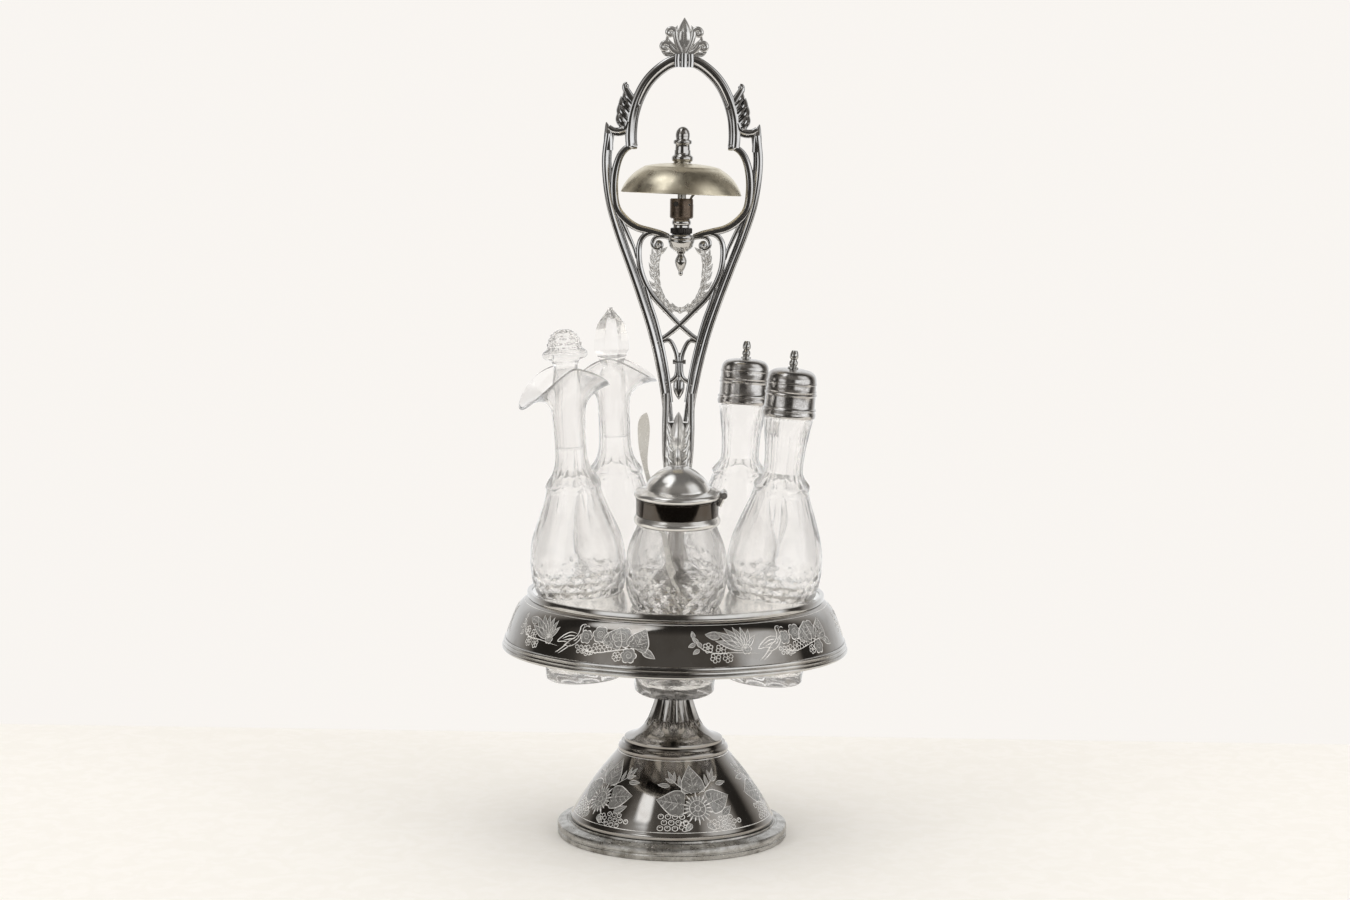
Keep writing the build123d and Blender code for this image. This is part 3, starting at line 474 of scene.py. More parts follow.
FOOT_DEPTH = 48.0
MUSTARD_SEAT = seat_matrix("mustard_jar", "mustard_lift", FOOT_DEPTH)
CRUET_FRONT_SEAT = seat_matrix("cruet_front_glass", "cruet_front_lift", FOOT_DEPTH)
CRUET_BACK_SEAT = seat_matrix("cruet_back_glass", "cruet_back_lift", FOOT_DEPTH)
SHAKER_FRONT_SEAT = seat_matrix("shaker_front_glass", "shaker_front_lift", FOOT_DEPTH)
SHAKER_BACK_SEAT = seat_matrix("shaker_back_glass", "shaker_back_lift", FOOT_DEPTH)


# Across a leaf from edge to edge: share of its half width, share of its swell
LEAF_SECTION = ((-1.0, 0.12), (-0.72, 0.62), (-0.38, 1.0), (-0.08, 0.92), (0.0, 0.65), (0.08, 0.92),
                (0.38, 1.0), (0.72, 0.62), (1.0, 0.12))


def ribbed_leaf(line, width, depth, lobes=0, steps=22):
    """A leaf along a curved midline in the XZ plane, thick beside its groove and thin at its edge.
    lobes is how many notches each side has."""
    line = curve(line, 10)
    pick = np.linspace(0, len(line) - 1, steps + 1)
    line = np.stack([np.interp(pick, np.arange(len(line)), side) for side in line.T], axis=1)
    verts = []
    for i, ((x, z), (tx, tz)) in enumerate(zip(line, directions(line))):
        t = i / steps
        half = width / 2 * max(math.sin(math.pi * min(1.0, t ** 0.8 * 0.96 + 0.03)) ** 0.75, 0.05)
        if lobes:
            half *= 0.86 + 0.20 * abs(math.sin(math.pi * lobes * t))
        swell = depth / 2 * (0.25 + 0.75 * math.sin(math.pi * min(1.0, t * 0.9 + 0.08)))
        for side in (-1, 1):
            for share, lift in LEAF_SECTION[::-side]:
                a = share * half
                tip = -0.22 * abs(share) * half
                verts.append((x - tz * a + tx * tip, side * lift * swell, z + tx * a + tz * tip))
    return verts, tube_faces(steps + 1, len(LEAF_SECTION) * 2)


def ball(centre, radius, squash=1.0, rings=8, segments=14):
    """A small ball, squash times as deep front to back."""
    outline = [(radius * math.sin(math.pi * k / rings), -radius * math.cos(math.pi * k / rings))
               for k in range(rings + 1)]
    outline[0] = (0, -radius)
    outline[-1] = (0, radius)
    verts, faces = turned(outline, segments, closed=False)
    cx, cy, cz = centre
    return [(cx + x, cy + y * squash, cz + z) for x, y, z in verts], faces


def spiral(centre, outer, inner, start, turns, count=14):
    """Points of a volute winding inwards round a centre in the XZ plane."""
    out = []
    for k in range(count + 1):
        t = k / count
        radius = outer * (inner / outer) ** t
        angle = math.radians(start) + turns * TAU * t
        out.append((centre[0] + radius * math.cos(angle), centre[1] + radius * math.sin(angle)))
    return out


# ------------------------------------------------------------------ foot


def dented(amount, scale):
    """A wave for turned(): small random dents, amount millimetres deep."""
    def wave(radius, height, angle):
        """The dented radius."""
        place = Vector((math.cos(angle) * scale, math.sin(angle) * scale, height * 0.08))
        return radius + amount * noise.noise(place), height
    return wave


CONE = [(56.35, 12.6), (54.4, 16.0), (52.2, 19.7), (43.0, 33.2), (30.6, 48.6)]


def make_foot():
    """The worn ring the set stands on, and the spun cone above it."""
    outline = [(55.2, 0.0), (63.6, 0.0), (64.3, 0.25), (64.7, 0.8), (64.75, 2.7), (64.4, 3.1), (64.4, 3.6),
               (64.75, 4.0), (64.7, 6.2), (64.3, 7.0), (63.3, 7.5), (61.2, 7.8), (60.6, 8.25), (59.6, 8.35),
               (59.1, 8.0), (58.3, 8.2), (58.1, 9.3), (55.2, 9.3)]
    piece("foot_rim_ring", *turned(outline, 160, wave=dented(0.10, 9.0)), worn_silver, "foot", ["foot_rim"],
          "worn_silver")
    inner = bend([(28.6, 48.2), (41.2, 32.0), (50.3, 18.9), (55.1, 9.6)], 6)
    ledge = [(30.9, 49.2), (31.0, 50.3), (30.6, 51.3), (29.9, 51.9), (29.5, 52.6), (29.2, 53.3),
             (27.0, 53.3)]
    low = [(57.3, 9.6), (57.4, 10.6), (57.3, 11.3), (56.8, 11.7), (56.6, 12.2)]
    outline = low + bend(CONE, 12) + ledge + inner
    piece("foot_cone_shell", *turned(outline, 160, wave=dented(0.05, 5.0)), dark_silver, "foot",
          ["foot_cone"], "engraved_silver")


FLUTES = 14
FLUTES_FROM = 63.0
FLUTES_TO = 114.0
FLUTE_DEPTH = 1.75


def fluted(radius, height, angle):
    """Flutes with rounded ends, cut square to the surface and widest where the stem spreads."""
    if not FLUTES_FROM < height < FLUTES_TO or radius < 8.9:
        return radius, height
    t = (height - FLUTES_FROM) / (FLUTES_TO - FLUTES_FROM)
    reach = min(1.0, (t / 0.07) ** 0.5, ((1 - t) / 0.2) ** 0.5)
    phase = abs((angle / TAU * FLUTES + 0.5) % 1.0 - 0.5) * 2 / (0.86 * reach + 1e-6)
    depth = FLUTE_DEPTH * max(0.0, 1.0 - phase * phase) * (1 - 0.55 * t)
    outward = 0.45 + 0.55 * smooth_step(height, 58.0, 72.0)
    return radius - depth * outward, height - depth * math.sqrt(max(0.0, 1 - outward * outward))


def make_stem():
    """The fluted stem between the foot and the tray."""
    outline = [(26.0, 53.4), (27.5, 53.4), (27.6, 54.2), (27.6, 55.0)]
    outline += bend([(27.5, 55.7), (22.4, 57.4), (18.8, 60.0), (15.6, 64.0), (13.4, 69.0), (11.2, 75.6),
                     (9.8, 82.0), (9.1, 90.0), (9.0, 97.0), (9.1, 108.0), (9.3, 118.0)], 7)
    outline += [(10.6, 120.0), (12.1, 122.6), (12.6, 125.0), (12.5, 127.4), (11.6, 129.4), (6.3, 129.4),
                (6.3, 70.0), (8.0, 70.0), (8.6, 64.5), (14.0, 57.8)]
    piece("fluted_stem_casting", *turned(outline, FLUTES * 14, wave=fluted), dark_silver, "foot",
          ["fluted_stem"], "dark_silver")


make_foot()
make_stem()

# ------------------------------------------------------------------ tray

SKIRT = [(95.1, 112.8), (93.8, 116.6), (92.3, 120.9), (90.6, 125.4), (88.7, 129.4), (86.0, 132.5),
         (82.6, 135.0)]


def make_tray():
    """The tray's bead, engraved skirt and lower moulding."""
    bead = [(80.6, 138.5), (80.6, 135.1), (82.3, 135.1), (82.5, 135.3), (82.55, 135.8), (82.9, 135.95),
            (83.15, 136.1), (83.2, 138.4), (83.05, 138.7), (82.6, 138.9), (81.8, 138.95), (81.3, 138.8)]
    piece("tray_bead_ring", *turned(bead, 220), bright_silver, "carousel", ["tray_bead"], "dark_silver")
    inner = [(93.9, 112.8), (91.0, 120.4), (89.4, 124.8), (87.5, 128.7), (84.9, 131.7), (81.1, 134.9)]
    outline = bend(SKIRT, 5)[::-1] + inner
    piece("tray_skirt_band", *turned(outline, 220, wave=dented(0.05, 5.0)), dark_silver, "carousel",
          ["tray_skirt"], "engraved_silver")
    moulding = [(93.9, 106.6), (93.9, 112.6), (95.4, 112.6), (95.75, 112.35), (95.85, 111.9),
                (95.85, 111.4), (95.4, 111.1), (95.4, 110.9), (96.2, 110.5), (96.4, 110.1),
                (96.4, 109.3), (96.0, 109.0), (96.0, 108.8), (96.8, 108.5), (97.0, 108.1),
                (97.0, 107.2), (96.8, 106.8), (96.4, 106.6)]
    piece("tray_moulding_ring", *turned(moulding, 220, wave=dented(0.02, 8.0)), bright_silver, "carousel",
          ["tray_moulding"], "dark_silver")


make_tray()

# ------------------------------------------------------------------ engraving


def unrolled(outline):
    """A function from (distance round, distance up the outline) to a point and its outward normal."""
    outline = np.array(outline, float)
    steps = np.linalg.norm(np.diff(outline, axis=0), axis=1)
    along = np.concatenate([[0.0], np.cumsum(steps)])
    middle = outline[:, 0].mean()

    def place(u, v, lift):
        """The point at (u, v), lifted off the surface."""
        v = min(max(v, 0.0), along[-1])
        r = float(np.interp(v, along, outline[:, 0]))
        h = float(np.interp(v, along, outline[:, 1]))
        k = min(int(np.searchsorted(along, v, side="right")) - 1, len(steps) - 1)
        dr, dh = (outline[k + 1] - outline[k]) / steps[k]
        normal = (dh, -dr) if dh > 0 else (-dh, dr)
        angle = u / middle
        r += normal[0] * lift
        h += normal[1] * lift
        return (r * math.sin(angle), -r * math.cos(angle), h)

    return place


def stroke(place, points, width, proud=0.07, taper=True):
    """A bright cut: a thin raised ridge along a line drawn on the unrolled surface."""
    points = np.array(points, float)
    verts, faces = [], []
    last = len(points) - 1
    for i, ((u, v), (tu, tv)) in enumerate(zip(points, directions(points))):
        t = i / last
        half = width / 2 * ((0.25 + 0.75 * math.sin(math.pi * t)) if taper else 1.0)
        verts.append(place(u - tv * half, v + tu * half, -0.03))
        verts.append(place(u, v, proud))
        verts.append(place(u + tv * half, v - tu * half, -0.03))
    for i in range(last):
        a, b = i * 3, i * 3 + 3
        faces += [(a, b, b + 1, a + 1), (a + 1, b + 1, b + 2, a + 2), (a + 2, b + 2, b, a)]
    faces += [(0, 1, 2), (last * 3 + 2, last * 3 + 1, last * 3)]
    return verts, faces


def bent_points(points, at, angle, size, flip=1):
    """A motif's points turned, sized and moved to its place on the unrolled surface."""
    c, s = math.cos(angle), math.sin(angle)
    return [(at[0] + flip * size * (x * c - y * s), at[1] + size * (x * s + y * c)) for x, y in points]


FROSTING_LIFT = 0.035


def frosted(place, left, right):
    """A thin frosted face between two edge lines of equal length, closed underneath."""
    across = 5
    top = []
    for a, b in zip(left, right):
        for k in range(across):
            t = k / (across - 1)
            top.append((a[0] * (1 - t) + b[0] * t, a[1] * (1 - t) + b[1] * t))
    verts = [place(u, v, FROSTING_LIFT) for u, v in top] + [place(u, v, -0.05) for u, v in top]
    rows = len(left)
    under = rows * across
    faces = []
    for i in range(rows - 1):
        for k in range(across - 1):
            a, b = i * across + k, (i + 1) * across + k
            faces.append((a, a + 1, b + 1, b))
            faces.append((under + b, under + b + 1, under + a + 1, under + a))
    rim = list(range(across)) + [(i + 1) * across - 1 for i in range(1, rows)]
    rim += [(rows - 1) * across + k for k in range(across - 2, -1, -1)]
    rim += [i * across for i in range(rows - 2, 0, -1)]
    for a, b in zip(rim, rim[1:] + rim[:1]):
        faces.append((b, a, under + a, under + b))
    return verts, faces


# The frosted faces of the motifs cut so far, gathered until their surface is finished
grounds = []


def leaf_edge(side, wide, count=14):
    """One side of a pointed leaf of length 1."""
    steps = [k / count for k in range(count + 1)]
    return [(side * wide * math.sin(math.pi * t ** 0.72), t) for t in steps]


def midrib(count):
    """A straight line up the middle of a leaf of length 1."""
    return [(0, k / count) for k in range(count + 1)]


def cut_leaf(place, at, angle, size, wide=0.22, veins=3, flip=1, line=0.6):
    """A pointed leaf: its outline, midrib and a few slanting veins, on a frosted face."""
    def laid(points):
        """Points of the leaf where it lies on the surface."""
        return bent_points(points, at, angle, size, flip)

    grounds.append(frosted(place, *(laid(leaf_edge(side, wide * 0.97)) for side in (-1, 1))))
    parts = [stroke(place, laid(leaf_edge(side, wide)), line) for side in (-1, 1)]
    parts.append(stroke(place, laid(midrib(8)), line * 0.8))
    for k in range(1, veins + 1):
        t = k / (veins + 1.2)
        reach = wide * math.sin(math.pi * t ** 0.65) * 0.8
        for side in (-1, 1):
            vein = [(side * reach * q, t + 0.16 * q * (1 - t)) for q in (0.12, 0.5, 1.0)]
            parts.append(stroke(place, laid(vein), line * 0.75, 0.06))
    return parts


def heart_edge(side, count=18):
    """One side of a heart-shaped leaf of length 1, from its notch to its tip."""
    line = []
    for k in range(count + 1):
        t = k / count
        lobe = 0.17 * math.sin(math.pi * min(1.0, t * 2.6)) * (1 - t)
        line.append((side * 0.47 * math.sin(math.pi * t ** 0.52), t - lobe))
    return line


HEART_VEINS = ((0.30, 0.20, 0.44), (0.30, 0.42, 0.62), (0.20, 0.62, 0.78))


def cut_heart(place, at, angle, size, flip=1, stipples=34):
    """A heart-shaped leaf: an outline, a midrib, veins and stippling on a frosted face."""
    def laid(points):
        """Points of the leaf where it lies on the surface."""
        return bent_points(points, at, angle, size, flip)

    grounds.append(frosted(place, *(laid(heart_edge(side)) for side in (-1, 1))))
    parts = []
    for side in (-1, 1):
        parts.append(stroke(place, laid(heart_edge(side)), 0.85, 0.09))
        for reach, start, end in HEART_VEINS:
            vein = [(0, start), (side * reach * 0.55, (start + end) / 2), (side * reach, end)]
            parts.append(stroke(place, laid(curve(vein, 4)), 0.5))
    parts.append(stroke(place, laid(midrib(9)), 0.6))
    chance = random.Random(int(abs(at[0]) * 10) + 3)
    for _ in range(stipples):
        t = chance.uniform(0.04, 0.86)
        x = chance.uniform(-0.85, 0.85) * 0.44 * math.sin(math.pi * t ** 0.55)
        dot = [(x - 0.02, t), (x + 0.02, t + 0.02), (x + 0.04, t)]
        parts.append(stroke(place, laid(dot), 0.55, 0.08))
    return parts


def beside(at, angle, distance):
    """The point at a distance from another, at an angle."""
    return (at[0] + distance * math.cos(angle), at[1] + distance * math.sin(angle))


def ring_points(at, radius, count, start=0.0, turn=TAU):
    """Points round an arc."""
    return [beside(at, start + turn * k / count, radius) for k in range(count + 1)]


def frosted_disc(place, at, radius):
    """A round frosted face."""
    halves = [ring_points(at, radius, 14, math.pi / 2, turn * math.pi) for turn in (1, -1)]
    grounds.append(frosted(place, *halves))


def cut_daisy(place, at, radius, petals=5):
    """A small open flower with a ring at its heart."""
    parts = [stroke(place, ring_points(at, radius * 0.24, 8), 0.55, taper=False)]
    for k in range(petals):
        angle = TAU * k / petals + 0.3
        centre = beside(at, angle, radius * 0.66)
        petal = ring_points(centre, radius * 0.36, 9, angle + math.pi, TAU * 0.94)
        parts.append(stroke(place, petal, 0.5))
    return parts


def cut_rose(place, at, radius, turns=2.3):
    """A full rose: a scrolled heart inside rings of scalloped petals."""
    frosted_disc(place, at, radius * 0.92)
    count = 34
    steps = [k / count for k in range(count + 1)]
    scroll = [beside(at, turns * TAU * t, radius * (0.10 + 0.52 * t)) for t in steps]
    parts = [stroke(place, scroll, 0.55)]
    for k in range(6):
        angle = TAU * k / 6
        petal = ring_points(beside(at, angle, radius * 0.62), radius * 0.42, 10, angle - 1.5, 3.0)
        parts.append(stroke(place, petal, 0.7, 0.09))
    return parts


def cut_berries(place, at, radius, rows):
    """A cluster of round berries in staggered rows."""
    parts = []
    for row, count in enumerate(rows):
        for k in range(count):
            spot = (at[0] + radius * (2.1 * k + row % 2 * 1.05), at[1] - radius * 1.9 * row)
            parts.append(stroke(place, ring_points(spot, radius * 0.82, 9), 0.5, taper=False))
            parts.append(stroke(place, ring_points(spot, radius * 0.3, 5, 0.6, 2.4), 0.5))
    return parts


def cut_sunburst(place, at, core, reach, rays=20):
    """A sunburst flower: notched rays round a ring, with a small star at its heart."""
    frosted_disc(place, at, reach * 0.72)
    parts = [stroke(place, ring_points(at, core, 20), 0.7, taper=False),
             stroke(place, ring_points(at, core * 0.36, 10), 0.6, taper=False)]
    for k in range(rays):
        angle = TAU * k / rays
        far = reach * (1.0 if k % 2 else 0.80)
        ray = [beside(at, angle, r) for r in (core * 1.05, (core + far) / 2, far)]
        parts.append(stroke(place, ray, 1.15, 0.10))
    for k in range(7):
        spoke = [beside(at, TAU * k / 7 + 0.2, core * share) for share in (0.42, 0.65, 0.95)]
        parts.append(stroke(place, spoke, 0.6))
    return parts


def cut_stem(place, points, width=0.6):
    """A stem through a few points."""
    return [stroke(place, curve(points, 6), width)]


def cut_star(place, at, angle, size, flip):
    """A spray of three narrow leaves from one point."""
    parts = []
    for turn, share in ((-0.62, 0.78), (0.0, 1.0), (0.62, 0.78)):
        parts += cut_leaf(place, at, angle + turn, size * share, 0.14, 0, flip, 0.65)
    return parts


def cone_spray(place, at, v=15.0):
    """One spray on the foot: a sunburst between three heart leaves, star leaves above, fruit below."""
    parts = cut_sunburst(place, (at, v), 4.6, 9.6)
    parts += cut_heart(place, (at - 0.6, v + 9.6), 0.05, 16.5)
    parts += cut_heart(place, (at - 7.6, v + 2.6), 1.42, 16.0)
    parts += cut_heart(place, (at + 7.6, v + 2.8), 1.36, 14.5, -1)
    for side in (-1, 1):
        parts += cut_stem(place, [(at + side * 2.0, v + 8.6), (at + side * 8.0, v + 12.0),
                                  (at + side * 15.5, v + 17.5)], 0.7)
        parts += cut_star(place, (at + side * 13.0, v + 15.6), 0.62, 8.6, -side)
        parts += cut_leaf(place, (at + side * 9.2, v + 13.0), 0.05, 7.0, 0.15, 0, -side, 0.65)
        parts += cut_leaf(place, (at + side * 16.0, v + 13.4), 1.5, 8.2, 0.15, 0, -side, 0.65)
        parts += cut_daisy(place, (at + side * 7.6, v - 10.0), 3.0, 6)
        parts += cut_leaf(place, (at + side * 4.2, v - 8.6), 2.5, 5.4, 0.26, 1, -side)
    parts += cut_berries(place, (at - 20.0, v - 4.6), 1.75, (4, 4, 3))
    parts += cut_berries(place, (at + 11.6, v - 6.6), 1.5, (3, 4, 3))
    parts += cut_leaf(place, (at + 13.4, v - 5.2), -1.0, 8.6, 0.22, 2)
    return parts


BIRD_LINES = (
    ((6.4, 19.2), (5.2, 20.2), (3.6, 20.0), (2.6, 18.6), (2.8, 16.6), (1.8, 13.4), (-1.6, 10.6),
     (-5.6, 7.4)),
    ((6.4, 19.2), (4.6, 18.0), (5.0, 15.4), (4.4, 12.2), (1.6, 8.8), (-2.4, 7.0), (-5.6, 7.4)),
    ((-2.2, 10.6), (-6.0, 6.2), (-9.4, 3.0)),
    ((-3.4, 8.4), (-7.0, 5.2), (-10.4, 2.6)),
    ((-1.0, 8.0), (-5.0, 4.8), (-8.2, 2.4)),
    ((1.6, 14.4), (-2.6, 14.8), (-7.0, 12.6), (-10.6, 8.8), (-6.0, 9.2), (-2.0, 8.6)),
    ((0.6, 13.0), (-3.0, 12.8), (-7.6, 10.6)),
    ((0.8, 11.6), (-2.4, 11.0), (-6.4, 9.8)),
    ((2.4, 12.0), (1.8, 11.2), (0.4, 10.2)),
    ((3.6, 14.2), (2.8, 13.0), (2.6, 11.6)),
    ((6.3, 19.3), (7.4, 19.4), (8.4, 18.8)),
    ((4.4, 19.1), (4.7, 19.2), (4.9, 19.0)),
)


TWIG_LEAVES = ((-46.0, 15.6, 0.2), (-43.6, 13.2, 0.9), (-45.2, 12.6, 2.0), (-42.0, 10.8, 0.7),
               (-43.2, 9.6, 2.2))
LILY_SPIKES = ((1.30, 17.0), (1.02, 19.0), (0.74, 16.0), (0.44, 13.6), (0.10, 12.0), (-0.30, 11.0),
               (-0.75, 9.6))


def skirt_garland(place, at):
    """One garland of the skirt: a twig, daisies, a spiked lily, a bird, roses and heart leaves."""
    def spot(u, v):
        """A point of the garland, from its middle."""
        return (at + u, v)

    parts = []
    for u, v, angle in TWIG_LEAVES:
        parts += cut_leaf(place, spot(u, v), angle, 4.2, 0.24, 0, 1, 0.6)
    parts += cut_stem(place, [spot(-46.4, 16.8), spot(-42.4, 10.4), spot(-36.0, 7.6), spot(-24.0, 7.4),
                              spot(-10.0, 6.2)])
    for u, v in ((-38.7, 10.4), (-31.7, 9.6), (-34.9, 5.0), (-28.3, 5.0)):
        parts += cut_daisy(place, spot(u, v), 2.7, 6)
    parts += cut_leaf(place, spot(-31.6, 16.4), 1.42, 8.4, 0.26, 2)
    for angle, size in LILY_SPIKES:
        parts += cut_leaf(place, spot(-18.0, 9.4), angle, size, 0.13, 0, 1, 0.8)
    parts += cut_rose(place, spot(-17.6, 9.0), 2.6, 1.2)
    for line in BIRD_LINES:
        parts.append(stroke(place, curve([spot(u, v) for u, v in line], 5), 0.72, 0.09))
    parts += cut_berries(place, spot(3.2, 7.6), 1.25, (3, 4))
    parts += cut_rose(place, spot(7.6, 13.4), 3.6, 1.6)
    parts += cut_rose(place, spot(16.0, 15.6), 4.4)
    for u, v in ((15.2, 8.0), (9.8, 6.2), (21.2, 9.4)):
        parts += cut_daisy(place, spot(u, v), 2.9, 6)
    parts += cut_rose(place, spot(29.0, 15.0), 5.6, 2.6)
    parts += cut_heart(place, spot(22.6, 9.6), -0.35, 11.5, 1, 0)
    parts += cut_rose(place, spot(33.2, 5.4), 4.0, 1.6)
    parts += cut_daisy(place, spot(27.0, 4.4), 2.5, 6)
    parts += cut_heart(place, spot(36.4, 9.2), -0.42, 12.4)
    parts += cut_leaf(place, spot(40.0, 9.0), -2.15, 8.6, 0.22, 2)
    parts += cut_stem(place, [spot(5.0, 7.0), spot(14.0, 5.4), spot(24.0, 7.2), spot(36.4, 9.2),
                              spot(41.0, 8.4)])
    return parts


CONE_SPRAYS = 5
CONE_TURN = math.radians(16.6)
GARLANDS = 5
GARLAND_TURN = math.radians(35.5)


def make_engraving():
    """The cut sprays and their frosted faces, round the foot and the skirt."""
    cone = bend(CONE, 12)
    place = unrolled(cone)
    middle = np.array(cone)[:, 0].mean()
    parts = []
    for k in range(CONE_SPRAYS):
        parts += cone_spray(place, middle * (TAU * k / CONE_SPRAYS + CONE_TURN))
    for v in (1.2, 43.6):
        loop = [(middle * TAU * k / 180, v) for k in range(181)]
        parts.append(stroke(place, loop, 0.5, 0.05, taper=False))
    piece("foot_engraving", *joined(parts), cut_silver, "foot", (), "engraved_silver", sharp=20)
    piece("foot_frosting", *joined(grounds), frosted_silver, "foot", (), "engraved_silver", sharp=20)
    grounds.clear()
    skirt = bend(SKIRT, 5)
    place = unrolled(skirt)
    middle = np.array(skirt)[:, 0].mean()
    parts = []
    for k in range(GARLANDS):
        parts += skirt_garland(place, middle * (TAU * k / GARLANDS + GARLAND_TURN))
    loop = [(middle * TAU * k / 220, 23.6) for k in range(221)]
    parts.append(stroke(place, loop, 0.45, 0.05, taper=False))
    piece("skirt_engraving", *joined(parts), cut_silver, "carousel", (), "engraved_silver", sharp=20)
    piece("skirt_frosting", *joined(grounds), frosted_silver, "carousel", (), "engraved_silver", sharp=20)


make_engraving()

# ------------------------------------------------------------------ handle

RAIL_SECTION = [(-2.8, 0.0), (-2.75, 0.9), (-2.55, 1.45), (-2.2, 1.85), (-1.6, 2.15), (-0.8, 2.28),
                (0.0, 2.15), (0.7, 1.75), (1.15, 1.1), (1.4, 1.0), (1.6, 1.25), (1.9, 1.6),
                (2.25, 1.55), (2.6, 1.1), (2.8, 0.0), (2.6, -1.1), (2.25, -1.55), (1.9, -1.6),
                (1.6, -1.25), (1.4, -1.0), (1.15, -1.1), (0.7, -1.75), (0.0, -2.15), (-0.8, -2.28),
                (-1.6, -2.15), (-2.2, -1.85), (-2.55, -1.45), (-2.75, -0.9)]


def both(parts):
    """Each part and its mirror image."""
    return [side for part in parts for side in (part, mirrored(part))]


def make_post():
    """The turned post that carries the handle's blade."""
    outline = [(5.2, 144.0), (15.0, 143.3), (15.0, 144.4), (14.8, 145.4), (14.0, 146.2), (12.8, 146.7),
               (11.7, 147.3), (12.2, 147.9), (12.3, 148.7), (11.9, 149.4), (11.2, 149.8)]
    outline += bend([(10.6, 150.4), (7.6, 155.0), (5.7, 166.0), (5.2, 180.0), (5.8, 193.4)], 6)
    outline += [(6.8, 194.2), (7.9, 195.2), (8.1, 196.2), (7.8, 197.2), (6.8, 198.1), (5.9, 198.5),
                (6.0, 200.6), (6.9, 201.8), (8.0, 202.8), (8.15, 203.6), (8.1, 205.4), (3.3, 205.4),
                (3.3, 191.0), (0, 191.0), (0, 151.0), (5.2, 151.0)]
    piece("centre_post_turning", *turned(outline, 72), dark_silver, "carousel", ["centre_post"],
          "dark_silver")


